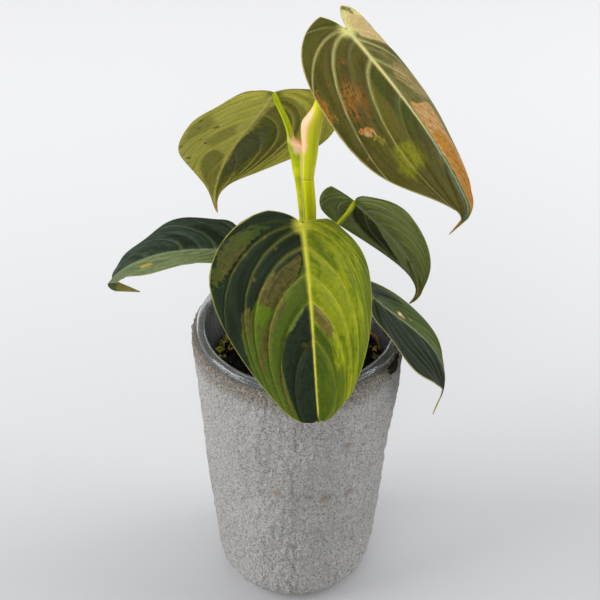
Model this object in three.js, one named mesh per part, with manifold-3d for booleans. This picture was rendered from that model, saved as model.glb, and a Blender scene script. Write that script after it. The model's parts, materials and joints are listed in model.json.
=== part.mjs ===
// A potted variegated philodendron: a climbing aroid with six hanging heart-shaped blades, in a clear
// nursery cup that hangs by its lip in a rough round planter.
// Millimetres, Z up. The origin is the middle of the planter's flat underside, the room side is -Y.
import * as THREE from 'three';
import { mergeVertices } from 'three/addons/utils/BufferGeometryUtils.js';
import Module from 'manifold-3d';

const wasm = await Module();
wasm.setup();

// Driving dimensions
const GAP = 0.3;
const PLANTER = {
  height: 165, rimRadius: 55, footRadius: 40.5, wall: 5, floor: 8, footRound: 14, flare: 0.85, sides: 48,
};
const CUP = {
  floorZ: 74, floorRadius: 37, wall: 0.9, neckRadius: 48.9, lipRadius: 52.5, lipHeight: 4.3, drainHole: 3,
};
const SOIL = { edgeZ: 143, middleZ: 146, holeRadius: 5.2, holeBottomZ: 118, chips: 36 };
const STEM = { topZ: 258, sides: 12 };
const BLADE = {
  thickness: 0.7, rib: 0.6, quilt: 0.7, veins: 7, columns: 6, tailRows: 3,
  basalShare: 0.26, widestShare: 0.42, crowding: 1.8, tailEndHalf: 0.27, sinusHalfGap: 0.4,
};

// Each blade: where it joins its petiole, its flat outline, how that outline is bent, and its side veins.
// Pairs are [left half, right half], seen from above along the midrib. Angles are degrees.
// veins are shares of the way from the sinus round to the tip, sweep is how far they lean to the tip, and
// bow is how far they arch outwards on the way. tailHalf is half the drip tip's width where it begins, and
// tailBend is where its turn starts and ends, as shares of the blade's length.
const BLADES = {
  top_right: {
    joint: [19.5, 1.5, 337], length: 105.5, tail: 22, halfWidth: [43, 39], widest: 0.35,
    lobeBack: [12.5, 11.5], lobeOut: [9, 7], taper: 0.26, shoulder: 0.14,
    heading: -42, bend: 10, pitch: [30, 42, 64], roll: -2, twist: 1,
    fold: [-13, -8], curl: [-1.4, -0.5], tailTurn: [-35, 64], wave: [0.9, 2.5, 0.6],
    veins: [[0.08, 0.2, 0.33, 0.44, 0.56, 0.7, 0.85], [0.07, 0.14, 0.25, 0.38, 0.5, 0.66, 0.84]],
    sweep: [0, 0.75], bow: [0.4, 0.1], tailHalf: 2.4, tailBend: [0.9, 1.02],
  },
  top_left: {
    joint: [-13.5, 10.5, 298.5], length: 105.5, tail: 3, halfWidth: [37, 39.5], widest: 0.24,
    lobeBack: [4.5, 6], lobeOut: [13.5, 16.5], taper: 0.33, shoulder: 0.06,
    heading: 126.5, bend: 8.5, pitch: [59, 56, 86], roll: 15, twist: 13.5,
    fold: [-5, -10], curl: [-0.2, -0.4], tailTurn: [8, 26], wave: [0.6, 3, 1.2],
    veins: [[0.1, 0.22, 0.35, 0.47, 0.57, 0.71, 0.85], [0.1, 0.2, 0.32, 0.44, 0.55, 0.65, 0.8]],
    sweep: [0.15, 0.75], bow: [0.5, 0.5], tailHalf: 0.9, tailBend: [0.9, 1.03],
  },
  mid_right: {
    joint: [26.5, 5.5, 241], length: 77, tail: 3, halfWidth: [23, 26.5], widest: 0.21,
    lobeBack: [14, 5.5], lobeOut: [4.5, 8.5], taper: 0.32, shoulder: 0.08,
    heading: 21, bend: -29, pitch: [52, 55.5, 95.5], roll: -35.5, twist: -0.5,
    fold: [-10.5, 1], curl: [-0.9, 0.55], tailTurn: [22, 48], wave: [0.5, 2, 2.1],
    veins: [[0.12, 0.25, 0.38, 0.52, 0.65, 0.77, 0.88], [0.1, 0.2, 0.32, 0.45, 0.57, 0.7, 0.84]],
    sweep: [0.6, 0.45], bow: [0.2, 0.5], tailHalf: 0.9, tailBend: [0.9, 1.04],
  },
  mid_left: {
    joint: [-33, -9.5, 220.5], length: 75, tail: 13, halfWidth: [33, 35], widest: 0.29,
    lobeBack: [12.5, 1], lobeOut: [16.5, 12], taper: 0.27, shoulder: 0.07,
    heading: 168, bend: 3.5, pitch: [6, 22, 59], roll: 10.5, twist: -17,
    fold: [12, 0.5], curl: [0.3, -0.1], tailTurn: [20, 95], wave: [0.9, 3.5, 0.3],
    veins: [[0.12, 0.24, 0.36, 0.48, 0.58, 0.7, 0.84], [0.12, 0.24, 0.36, 0.49, 0.58, 0.66, 0.82]],
    sweep: [0.3, 0.3], bow: [0.3, 0.3], tailHalf: 3.4, tailBend: [0.92, 1],
  },
  front: {
    joint: [1, -39, 258.5], length: 97, tail: 3, halfWidth: [37.5, 49.5], widest: 0.31,
    lobeBack: [3.5, 9], lobeOut: [14.5, 14.5], taper: -0.14, shoulder: 0.2,
    heading: -79.5, bend: 6.5, pitch: [38, 69, 70], roll: -7.5, twist: 24,
    fold: [-20, -18], curl: [-0.8, -0.8], tailTurn: [12, 9], wave: [0.7, 3, 1.8],
    veins: [[0.12, 0.23, 0.33, 0.5, 0.6, 0.69, 0.8], [0.12, 0.26, 0.36, 0.46, 0.58, 0.68, 0.79]],
    sweep: [0.45, 0.6], bow: [0.4, 0.2], tailHalf: 0.9, tailBend: [0.9, 1.03],
  },
  low_right: {
    joint: [37, -13.5, 196.5], length: 89, tail: 12.5, halfWidth: [31, 26], widest: 0.31,
    lobeBack: [11.5, 7.5], lobeOut: [15.5, 14.5], taper: 0.29, shoulder: 0.08,
    heading: 16, bend: -6.5, pitch: [52, 53.5, 108], roll: -1.5, twist: 25.5,
    fold: [-7, -7], curl: [-0.3, -0.4], tailTurn: [-50, -5], wave: [0.7, 3, 0.9],
    veins: [[0.1, 0.22, 0.34, 0.46, 0.58, 0.7, 0.84], [0.1, 0.2, 0.31, 0.43, 0.57, 0.72, 0.85]],
    sweep: [0.6, 0.75], bow: [0.2, 0.2], tailHalf: 0.9, tailBend: [0.9, 1.14],
  },
};

// Each side petiole: its sheath clasps the stem from baseZ to sheathZ towards azimuth, then it runs free.
const PETIOLES = {
  top_left: {
    azimuth: 176, baseZ: 207, sheathZ: 277, spread: 112,
    thick: 1, bulge: 3.4, radius: [2.1, 1.4], rise: 0.3,
  },
  mid_right: {
    azimuth: 12, baseZ: 187, sheathZ: 202, spread: 95,
    thick: 1.5, bulge: 0.3, radius: [2, 1.3], rise: 0.45,
  },
  mid_left: {
    azimuth: 186, baseZ: 158, sheathZ: 171, spread: 95,
    thick: 1.6, bulge: 0.3, radius: [2.1, 1.4], rise: 0.4,
  },
  front: {
    azimuth: 280, baseZ: 172.5, sheathZ: 184, spread: 62,
    thick: 1.6, bulge: 0.3, radius: [2.3, 1.5], rise: 0.4,
  },
  low_right: {
    azimuth: -24, baseZ: 149.5, sheathZ: 156, spread: 90,
    thick: 1.6, bulge: 0.3, radius: [2.1, 1.4], rise: 0.25,
  },
};

// The terminal petiole's sheath, as [height, middle x, half width, half depth]
const TOP_SHEATH = [
  [258.3, 3.2, 3, 3], [263, 3.4, 3.3, 3.2], [271, 3.8, 3.8, 3.6], [279, 4, 4.2, 3.9], [284, 4.2, 4.8, 4],
  [289, 4.7, 4.9, 3.8], [292.5, 6.1, 4.2, 3.4], [296, 7.4, 3.3, 2.9], [301, 8.5, 2.6, 2.5],
];

const SURFACE_ROOT = {
  points: [[5.3, 2.7, 149.4], [17, 9, 151.5], [30, 13, 151.5], [40.5, 13, 150.5], [43.2, 8, 145.2]],
  radius: 0.8,
};

// Small helpers
const rad = THREE.MathUtils.degToRad;
const clamp = THREE.MathUtils.clamp;
const lerp = THREE.MathUtils.lerp;

function seeded(seed) {
  let state = seed;
  return () => {
    state = (state * 16807) % 2147483647;
    return state / 2147483647;
  };
}

function closedMesh(points, triangles) {
  const geometry = new THREE.BufferGeometry();
  geometry.setAttribute('position', new THREE.Float32BufferAttribute(points.flat(), 3));
  geometry.setIndex(triangles.flat());
  return geometry;
}

function toManifold(geometry) {
  const bare = geometry.clone();
  bare.deleteAttribute('normal');
  bare.deleteAttribute('uv');
  const merged = mergeVertices(bare, 1e-4);
  return new wasm.Manifold(new wasm.Mesh({
    numProp: 3,
    vertProperties: Float32Array.from(merged.attributes.position.array),
    triVerts: Uint32Array.from(merged.index.array),
  }));
}

function fromManifold(solid) {
  const mesh = solid.getMesh();
  const geometry = new THREE.BufferGeometry();
  geometry.setAttribute('position', new THREE.BufferAttribute(mesh.vertProperties, 3));
  geometry.setIndex(new THREE.BufferAttribute(mesh.triVerts, 1));
  return geometry;
}

// A skin over rings of equal length, closed by strips across its two end rings.
function loft(rings) {
  const count = rings[0].length;
  const triangles = [];
  for (let i = 0; i + 1 < rings.length; i += 1) {
    for (let j = 0; j < count; j += 1) {
      const a = i * count + j;
      const b = i * count + ((j + 1) % count);
      triangles.push([a, b, b + count], [a, b + count, a + count]);
    }
  }
  const last = (rings.length - 1) * count;
  for (let j = 0; j < count / 2 - 1; j += 1) {
    const k = count - 1 - j;
    triangles.push([j, k, j + 1], [j + 1, k, k - 1]);
    triangles.push([last + j, last + j + 1, last + k], [last + j + 1, last + k - 1, last + k]);
  }
  return closedMesh(rings.flat().map((p) => p.toArray()), triangles);
}

// A round tube along a curve, its radius a function of the share of the way along.
function taperedTube(curve, radiusAt, steps, sides) {
  const frames = curve.computeFrenetFrames(steps, false);
  const rings = [];
  for (let i = 0; i <= steps; i += 1) {
    const middle = curve.getPointAt(i / steps);
    const ring = [];
    for (let j = 0; j < sides; j += 1) {
      const angle = (2 * Math.PI * j) / sides;
      ring.push(middle.clone()
        .addScaledVector(frames.normals[i], Math.cos(angle) * radiusAt(i / steps))
        .addScaledVector(frames.binormals[i], Math.sin(angle) * radiusAt(i / steps)));
    }
    rings.push(ring);
  }
  return loft(rings);
}

// The planter: a turned shell with a rounded foot, uneven walls and one broken place on its rim.
function planterRadius(z) {
  const p = PLANTER;
  const straight = p.footRadius + (p.rimRadius - p.footRadius) * Math.max(z / p.height, 0) ** p.flare;
  const below = Math.max(1 - z / p.footRound, 0);
  return straight - p.footRound * (1 - Math.sqrt(1 - below * below));
}

function planter() {
  const p = PLANTER;
  const profile = [[0, 0], [planterRadius(0), 0]];
  for (const share of [0.06, 0.2, 0.45, 0.75, 1]) {
    profile.push([planterRadius(share * p.footRound), share * p.footRound]);
  }
  for (const z of [40, 70, 100, 125, 145, 157]) profile.push([planterRadius(z), z]);
  profile.push([p.rimRadius - 0.1, p.height - 1.8], [p.rimRadius - 1.6, p.height]);
  profile.push([p.rimRadius - p.wall + 0.8, p.height], [p.rimRadius - p.wall, p.height - 1]);
  profile.push([p.rimRadius - p.wall - 1, 120], [p.footRadius - p.wall, 30]);
  profile.push([p.footRadius - p.wall - 8, p.floor], [0, p.floor]);
  const geometry = new THREE.LatheGeometry(profile.map(([r, z]) => new THREE.Vector2(r, z)), p.sides);
  geometry.rotateX(Math.PI / 2);
  const position = geometry.attributes.position;
  for (let i = 0; i < position.count; i += 1) {
    const x = position.getX(i);
    const y = position.getY(i);
    const z = position.getZ(i);
    const radius = Math.hypot(x, y);
    const angle = Math.atan2(y, x);
    const outside = radius > planterRadius(z) - 2.5 && z > 2 ? 1 : 0;
    const high = clamp((z - 8) / 30, 0, 1) * clamp((p.height - z) / 12, 0, 1);
    const uneven = outside * high
      * (0.35 * Math.sin(5 * angle + z / 17) + 0.3 * Math.sin(9 * angle - z / 11) + 0.25 * Math.sin(z / 9));
    const chip = outside * Math.exp(-(((angle + rad(25)) / rad(9)) ** 2)) * clamp((z - 150) / 13, 0, 1);
    const scale = radius > 0 ? (radius + uneven - 1.1 * chip) / radius : 1;
    position.setXYZ(i, x * scale, y * scale, z - (z > p.height - 3 ? 1.2 * chip : 0));
  }
  return geometry;
}

// The clear nursery cup: thin turned wall, a lip that rolls over the planter's rim, drain holes.
function cupInnerRadius(z) {
  const share = (z - CUP.floorZ) / (PLANTER.height - CUP.floorZ);
  return lerp(CUP.floorRadius, CUP.neckRadius, share) - CUP.wall;
}

function nurseryCup() {
  const c = CUP;
  const seat = PLANTER.height + GAP;
  const top = seat + c.lipHeight;
  const profile = [
    [0, c.floorZ], [c.floorRadius - 1, c.floorZ], [c.floorRadius, c.floorZ + 1],
    [c.neckRadius, PLANTER.height], [c.neckRadius, top - 1.4],
    [c.lipRadius - c.wall, top - 1.4], [c.lipRadius - c.wall, seat], [c.lipRadius, seat],
    [c.lipRadius, top - 1.2], [c.lipRadius - 0.9, top - 0.2], [c.lipRadius - 2, top],
    [c.neckRadius + 0.2, top], [c.neckRadius - 0.7, top - 0.6], [c.neckRadius - c.wall, top - 1.8],
    [c.neckRadius - c.wall, PLANTER.height], [c.floorRadius - c.wall, c.floorZ + 1.4], [0, c.floorZ + 1.1],
  ];
  const body = new THREE.LatheGeometry(profile.map(([r, z]) => new THREE.Vector2(r, z)), 48);
  body.rotateX(Math.PI / 2);
  let solid = toManifold(body);
  for (let i = 0; i < 6; i += 1) {
    const hole = new THREE.CylinderGeometry(c.drainHole, c.drainHole, 6, 10);
    hole.rotateX(Math.PI / 2);
    hole.rotateZ(0.1);
    hole.translate(24 * Math.cos((i * Math.PI) / 3), 24 * Math.sin((i * Math.PI) / 3), c.floorZ);
    solid = solid.subtract(toManifold(hole));
  }
  return fromManifold(solid);
}

// The potting mix: fills the cup, mounded at the stem, with bark chips and moss bits pressed in.
function soilTop(x, y) {
  const share = Math.hypot(x, y) / cupInnerRadius(SOIL.edgeZ);
  return lerp(SOIL.middleZ, SOIL.edgeZ, share * share)
    + 0.9 * Math.sin(x / 4.1 + 1) * Math.cos(y / 3.7) + 0.6 * Math.sin((x + y) / 2.3);
}

function substrate() {
  const bottom = CUP.floorZ + 1.4 + GAP;
  const edge = cupInnerRadius(SOIL.edgeZ) - GAP - 0.25;
  const profile = [[0, bottom], [cupInnerRadius(bottom) - GAP - 0.25, bottom], [edge, SOIL.edgeZ]];
  for (const share of [0.92, 0.8, 0.68, 0.56, 0.44, 0.32, 0.21]) {
    profile.push([edge * share, SOIL.edgeZ + 1]);
  }
  profile.push([SOIL.holeRadius, SOIL.middleZ], [SOIL.holeRadius, SOIL.holeBottomZ], [0, SOIL.holeBottomZ]);
  const body = new THREE.LatheGeometry(profile.map(([r, z]) => new THREE.Vector2(r, z)), 36);
  body.rotateX(Math.PI / 2);
  const position = body.attributes.position;
  for (let i = 0; i < position.count; i += 1) {
    if (position.getZ(i) >= SOIL.edgeZ) position.setZ(i, soilTop(position.getX(i), position.getY(i)));
  }
  let solid = toManifold(body);
  const random = seeded(41);
  for (let i = 0; i < SOIL.chips; i += 1) {
    const angle = 2 * Math.PI * random();
    const reach = lerp(10.5, edge - 5, Math.sqrt(random()));
    const chip = new THREE.BoxGeometry(
      lerp(3.5, 8, random()), lerp(2.5, 5, random()), lerp(1.8, 3.4, random()),
    );
    chip.rotateX(lerp(-0.5, 0.5, random()));
    chip.rotateY(lerp(-0.5, 0.5, random()));
    chip.rotateZ(2 * Math.PI * random());
    const x = reach * Math.cos(angle);
    const y = reach * Math.sin(angle);
    chip.translate(x, y, soilTop(x, y) + 0.1);
    const nearRoot = Math.abs(y - 14) < 7 && x > 26;
    if (!nearRoot) solid = solid.add(toManifold(chip));
  }
  return fromManifold(solid);
}

// The stem, and the axis that the sheaths clasp
const stemCurve = new THREE.CatmullRomCurve3([
  [0, 0, SOIL.holeBottomZ + GAP], [0.2, 0, 150], [1.6, 0, 180],
  [3.2, 0, 208], [4.3, 0, 234], [3.2, 0, STEM.topZ],
].map((p) => new THREE.Vector3(...p)));

function stemAxisX(z) {
  const heights = [SOIL.holeBottomZ, 150, 180, 208, 234, STEM.topZ, 271, 284];
  const places = [0, 0.2, 1.6, 3.2, 4.3, 3.2, 3.8, 4.3];
  let i = 0;
  while (i < heights.length - 2 && z > heights[i + 1]) i += 1;
  return lerp(places[i], places[i + 1], (z - heights[i]) / (heights[i + 1] - heights[i]));
}

const NODE_HEIGHTS = [148, 157.5, 172, 186.5, 203, 232];

function stemRadius(z) {
  if (z > STEM.topZ) return lerp(3.2, 4.4, clamp((z - STEM.topZ) / 24, 0, 1));
  let radius = lerp(4.7, 3.4, clamp((z - 118) / 110, 0, 1));
  radius = lerp(radius, 3, clamp((z - 240) / 18, 0, 1));
  for (const height of NODE_HEIGHTS) radius += 0.22 * Math.exp(-(((z - height) / 1.6) ** 2));
  return radius;
}

function stem() {
  const span = STEM.topZ - stemCurve.points[0].z;
  const radiusAt = (share) => stemRadius(stemCurve.points[0].z + share * span);
  return taperedTube(stemCurve, radiusAt, 32, STEM.sides);
}

// One blade. The flat outline is two curves a side: lobe tip to widest place, widest place to the tip.
function bezier(a, b, c, d, t) {
  const s = 1 - t;
  return [0, 1].map((k) => a[k] * s ** 3 + 3 * b[k] * t * s * s + 3 * c[k] * t * t * s + d[k] * t ** 3);
}

// Where a row lies along its half. Row 0 is the sinus edge and 1 the tip, with the side veins evenly between.
// Both halves share one place on the midrib, so that their rows meet there.
function alongRow(blade, half, row, across) {
  if (row >= 1) return row;
  const at = row * (BLADE.veins + 1);
  const i = Math.floor(at);
  const place = (veins) => lerp(i === 0 ? 0 : veins[i - 1], i === BLADE.veins ? 1 : veins[i], at - i);
  const own = place(blade.veins[half]);
  const shared = (place(blade.veins[0]) + place(blade.veins[1])) / 2;
  const start = lerp(shared, own, clamp(across * 5, 0, 1));
  return start + blade.sweep[half] * (1 - start) * clamp((start - 0.06) / 0.3, 0, 1) * across * across;
}

// Where (along, across) lies in the flat blade: along runs 0 to 1 from the sinus round to the tip and on to
// 2 along the tail, across runs 0 to 1 from the midrib to the edge.
function flatPoint(blade, half, along, across) {
  const { length, tail, taper, shoulder, tailHalf } = blade;
  const width = blade.halfWidth[half];
  const back = blade.lobeBack[half];
  const out = blade.lobeOut[half];
  const widest = blade.widest * length;
  const k = 0.56;
  const share = BLADE.widestShare;
  const edge = along < share
    ? bezier([-back, out], [-back, out + k * (width - out)], [widest - k * (widest + back), width],
      [widest, width], along / share)
    : bezier([widest, width], [widest + k * (length - widest), width],
      [length - taper * (length - widest), tailHalf + shoulder * width],
      [length, tailHalf], Math.min((along - share) / (1 - share), 1));
  const past = clamp(along - 1, 0, 1);
  edge[0] += tail * past;
  edge[1] -= (tailHalf - BLADE.tailEndHalf) * past;
  const onRib = clamp((along - BLADE.basalShare) / (1 - BLADE.basalShare), 0, 1) ** BLADE.crowding;
  const start = length * onRib + tail * past;
  const basal = Math.exp(-((along / 0.1) ** 2));
  const arch = blade.bow[half] * (1 - basal);
  const bowU = -0.35 * back * basal - arch * edge[1];
  const bowV = -0.5 * out * basal + arch * (edge[0] - start);
  const sag = across * (1 - across);
  const slit = BLADE.sinusHalfGap * clamp(across * 6, 0, 1) * Math.exp(-along / 0.05);
  return [start + (edge[0] - start) * across + bowU * sag, edge[1] * across + bowV * sag + slit];
}

// The bent midrib, sampled evenly: point, direction and heading at each step.
function midrib(blade) {
  const steps = 160;
  const total = blade.length + blade.tail;
  const samples = [];
  const point = new THREE.Vector3(...blade.joint);
  for (let i = 0; i <= steps; i += 1) {
    const d = (total * i) / steps;
    const s = Math.min(d / blade.length, 1);
    const [bendFrom, bendTo] = blade.tailBend;
    const turn = clamp((d / blade.length - bendFrom) / (bendTo - bendFrom), 0, 1);
    const [p0, p1, p2] = blade.pitch;
    const pitch = rad(p0 * (1 - s) * (1 - 2 * s) + p1 * 4 * s * (1 - s) + p2 * s * (2 * s - 1)
      + blade.tailTurn[1] * turn);
    const heading = rad(blade.heading + blade.bend * s + blade.tailTurn[0] * turn);
    const direction = new THREE.Vector3(
      Math.cos(heading) * Math.cos(pitch), Math.sin(heading) * Math.cos(pitch), -Math.sin(pitch),
    );
    if (i > 0) {
      const mean = direction.clone().add(samples[i - 1].direction).multiplyScalar(total / steps / 2);
      point.add(mean);
    }
    samples.push({ point: point.clone(), direction, heading });
  }
  return (u) => {
    const at = clamp(u / total, 0, 1) * steps;
    const i = Math.min(Math.floor(at), steps - 1);
    const a = samples[i];
    const b = samples[i + 1];
    const direction = a.direction.clone().lerp(b.direction, at - i).normalize();
    return {
      point: a.point.clone().lerp(b.point, at - i).addScaledVector(direction, Math.min(u, 0)),
      direction,
      heading: lerp(a.heading, b.heading, at - i),
    };
  };
}

function ribFrame(blade, along, u) {
  const side = new THREE.Vector3(-Math.sin(along.heading), Math.cos(along.heading), 0);
  side.addScaledVector(along.direction, -side.dot(along.direction)).normalize();
  const up = along.direction.clone().cross(side);
  const roll = rad(blade.roll + blade.twist * clamp(u / blade.length, 0, 1));
  return {
    side: side.clone().multiplyScalar(Math.cos(roll)).addScaledVector(up, Math.sin(roll)),
    up: up.clone().multiplyScalar(Math.cos(roll)).addScaledVector(side, -Math.sin(roll)),
  };
}

function bentPoint(blade, rib, half, u, v, lift) {
  const along = rib(u);
  const frame = ribFrame(blade, along, u);
  const sign = half === 0 ? 1 : -1;
  const fold = rad(blade.fold[half]);
  const curl = blade.curl[half] / 100;
  const across = (Math.sin(fold + curl * v) - Math.sin(fold)) / curl;
  const rise = (Math.cos(fold) - Math.cos(fold + curl * v)) / curl;
  return along.point.clone()
    .addScaledVector(frame.side, sign * across)
    .addScaledVector(frame.up, rise + lift);
}

// The quilting between the veins and the slow wave of the edge
function bladeRelief(blade, half, row, across) {
  const along = alongRow(blade, half, row, across);
  const onBlade = clamp((1 - along) * 6, 0, 1);
  const between = Math.abs(Math.sin(Math.PI * (BLADE.veins + 1) * row));
  const quilt = BLADE.quilt * between * Math.sin(Math.PI * Math.min(across * 1.08, 1));
  const [size, count, phase] = blade.wave;
  const wave = size * Math.sin(2 * Math.PI * count * along + phase + 1.7 * half) * across ** 3;
  return onBlade * (quilt + wave);
}

function bladeSolid(blade) {
  const rib = midrib(blade);
  const rows = [];
  const bands = 2 * (BLADE.veins + 1);
  for (let i = 0; i <= bands; i += i < bands - 2 ? 1 : 0.5) rows.push(i / bands);
  for (let i = 1; i <= BLADE.tailRows; i += 1) rows.push(1 + i / BLADE.tailRows);
  const points = [];
  const ribShare = [];
  const ids = [[], []];
  const shared = new Map();
  for (const half of [0, 1]) {
    for (const row of rows) {
      const line = [];
      for (let j = 0; j <= BLADE.columns; j += 1) {
        const across = j / BLADE.columns;
        const along = alongRow(blade, half, row, across);
        const key = along <= BLADE.basalShare ? 'joint' : `rib ${row}`;
        if (j === 0 && shared.has(key)) {
          line.push(shared.get(key));
        } else {
          const [u, v] = flatPoint(blade, half, along, across);
          points.push(bentPoint(blade, rib, half, u, v, bladeRelief(blade, half, row, across)));
          ribShare.push(j === 0 ? clamp(1.15 - along, 0, 1) : 0);
          if (j === 0) shared.set(key, points.length - 1);
          line.push(points.length - 1);
        }
      }
      ids[half].push(line);
    }
  }
  const faces = [];
  for (const half of [0, 1]) {
    for (let i = 0; i + 1 < rows.length; i += 1) {
      for (let j = 0; j < BLADE.columns; j += 1) {
        const a = ids[half][i][j];
        const b = ids[half][i][j + 1];
        const c = ids[half][i + 1][j + 1];
        const d = ids[half][i + 1][j];
        const pair = a === d ? [[a, c, b]] : [[a, c, b], [a, d, c]];
        for (const [p, q, r] of pair) faces.push(half === 0 ? [p, q, r] : [p, r, q]);
      }
    }
  }
  const sheet = closedMesh(points.map((p) => p.toArray()), faces);
  sheet.computeVertexNormals();
  const normals = points.map((p, i) => new THREE.Vector3().fromBufferAttribute(sheet.attributes.normal, i));
  const half = BLADE.thickness / 2;
  const count = points.length;
  const upper = points.map((p, i) => p.clone().addScaledVector(normals[i], half));
  const lower = points.map((p, i) => {
    const below = half + BLADE.rib * ribShare[i];
    return p.clone().addScaledVector(normals[i], -below);
  });
  const border = [];
  const lastRow = rows.length - 1;
  for (let j = 0; j <= BLADE.columns; j += 1) border.push(ids[0][0][j]);
  for (let i = 1; i <= lastRow; i += 1) border.push(ids[0][i][BLADE.columns]);
  for (let j = BLADE.columns - 1; j >= 0; j -= 1) border.push(ids[0][lastRow][j]);
  for (let j = 1; j <= BLADE.columns; j += 1) border.push(ids[1][lastRow][j]);
  for (let i = lastRow - 1; i >= 0; i -= 1) border.push(ids[1][i][BLADE.columns]);
  for (let j = BLADE.columns - 1; j >= 1; j -= 1) border.push(ids[1][0][j]);
  const triangles = [];
  for (const [p, q, r] of faces) triangles.push([p, q, r], [p + count, r + count, q + count]);
  for (let i = 0; i < border.length; i += 1) {
    const p = border[i];
    const q = border[(i + 1) % border.length];
    triangles.push([p, q + count, p + count], [p, q, q + count]);
  }
  return outward(closedMesh([...upper, ...lower].map((p) => p.toArray()), triangles));
}

// Turn every face round if the mesh is inside out.
function outward(geometry) {
  const position = geometry.attributes.position;
  const index = geometry.index.array;
  const [a, b, c] = [new THREE.Vector3(), new THREE.Vector3(), new THREE.Vector3()];
  let volume = 0;
  for (let i = 0; i < index.length; i += 3) {
    a.fromBufferAttribute(position, index[i]);
    b.fromBufferAttribute(position, index[i + 1]);
    c.fromBufferAttribute(position, index[i + 2]);
    volume += a.dot(b.cross(c));
  }
  if (volume < 0) {
    for (let i = 0; i < index.length; i += 3) [index[i + 1], index[i + 2]] = [index[i + 2], index[i + 1]];
  }
  return geometry;
}

// Where a petiole stops under its blade, and the direction that it arrives in
function petioleEnd(blade) {
  const at = midrib(blade)(0);
  const { up } = ribFrame(blade, at, 0);
  const droop = 1.5 * Math.tan(rad(Math.max(-blade.fold[0], -blade.fold[1], 0)));
  const below = BLADE.thickness / 2 + BLADE.rib + GAP + droop;
  return { point: at.point.clone().addScaledVector(up, -below), up };
}

// A side petiole: a sheath, crescent in section, that clasps the stem and closes into a round stalk.
function petiole(spec, blade) {
  const outwards = new THREE.Vector3(Math.cos(rad(spec.azimuth)), Math.sin(rad(spec.azimuth)), 0);
  const sidewards = new THREE.Vector3(-outwards.y, outwards.x, 0);
  const arc = 7;
  const [thickRadius, thinRadius] = spec.radius;
  const rings = [];
  const ringAt = (z, round) => {
    const e = clamp((z - spec.baseZ) / (spec.sheathZ - spec.baseZ), 0, 1);
    const axis = new THREE.Vector3(stemAxisX(z), 0, z);
    const inner = stemRadius(z) + GAP + 0.12;
    const thick = spec.thick * (0.35 + 0.65 * clamp(e * 4, 0, 1));
    const reach = inner + thick + (2 * thickRadius - spec.thick + spec.bulge) * e ** 2.5;
    const centre = axis.clone().addScaledVector(outwards, reach - thickRadius);
    const ring = [];
    for (let side = 0; side < 2; side += 1) {
      for (let i = 0; i < arc; i += 1) {
        const t = side === 0 ? (2 * i) / (arc - 1) - 1 : 1 - (2 * i) / (arc - 1);
        const angle = t * rad(spec.spread) * (1 - 0.25 * e);
        const width = Math.cos((t * Math.PI) / 2);
        const distance = side === 0 ? inner + 0.35 + (reach - inner - 0.35) * width ** 0.8 : inner;
        const clasp = axis.clone().addScaledVector(outwards, distance * Math.cos(angle))
          .addScaledVector(sidewards, distance * Math.sin(angle));
        const turn = side === 0 ? t * rad(80) : Math.PI - t * rad(80);
        const stalk = centre.clone().addScaledVector(outwards, thickRadius * Math.cos(turn))
          .addScaledVector(sidewards, thickRadius * Math.sin(turn));
        ring.push(clasp.lerp(stalk, round));
      }
    }
    return { ring, centre };
  };
  const steps = Math.max(3, Math.round((spec.sheathZ - spec.baseZ) / 6));
  for (let i = 0; i <= steps; i += 1) rings.push(ringAt(lerp(spec.baseZ, spec.sheathZ, i / steps), 0).ring);
  rings.push(ringAt(spec.sheathZ + 1.2, 0.75).ring);
  const { ring, centre } = ringAt(spec.sheathZ + 3, 1);
  rings.push(ring);
  const end = petioleEnd(blade);
  const away = end.point.clone().sub(centre);
  const first = centre.clone()
    .add(new THREE.Vector3(0, 0, away.length() * spec.rise))
    .addScaledVector(away, 0.08);
  const second = end.point.clone().addScaledVector(end.up, -away.length() * 0.33);
  const curve = new THREE.CubicBezierCurve3(centre, first, second, end.point);
  const runs = Math.max(6, Math.round(curve.getLength() / 7));
  const tangent = (t) => curve.getTangentAt(t);
  let across = sidewards.clone();
  for (let i = 1; i <= runs; i += 1) {
    const t = i / runs;
    const direction = tangent(t);
    across = across.clone().addScaledVector(direction, -across.dot(direction)).normalize();
    const outer = across.clone().cross(direction).normalize();
    const fromEnd = ((1 - t) * curve.getLength() - 3) / 2.5;
    const knuckle = 0.25 * Math.exp(-(fromEnd ** 2));
    const radius = lerp(thickRadius, thinRadius, t) + knuckle;
    const middle = curve.getPointAt(t);
    const round = [];
    for (let side = 0; side < 2; side += 1) {
      for (let j = 0; j < arc; j += 1) {
        const s = side === 0 ? (2 * j) / (arc - 1) - 1 : 1 - (2 * j) / (arc - 1);
        const turn = side === 0 ? s * rad(80) : Math.PI - s * rad(80);
        round.push(middle.clone().addScaledVector(outer, radius * Math.cos(turn))
          .addScaledVector(across, radius * Math.sin(turn)));
      }
    }
    rings.push(round);
  }
  return outward(loft(rings));
}

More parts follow.
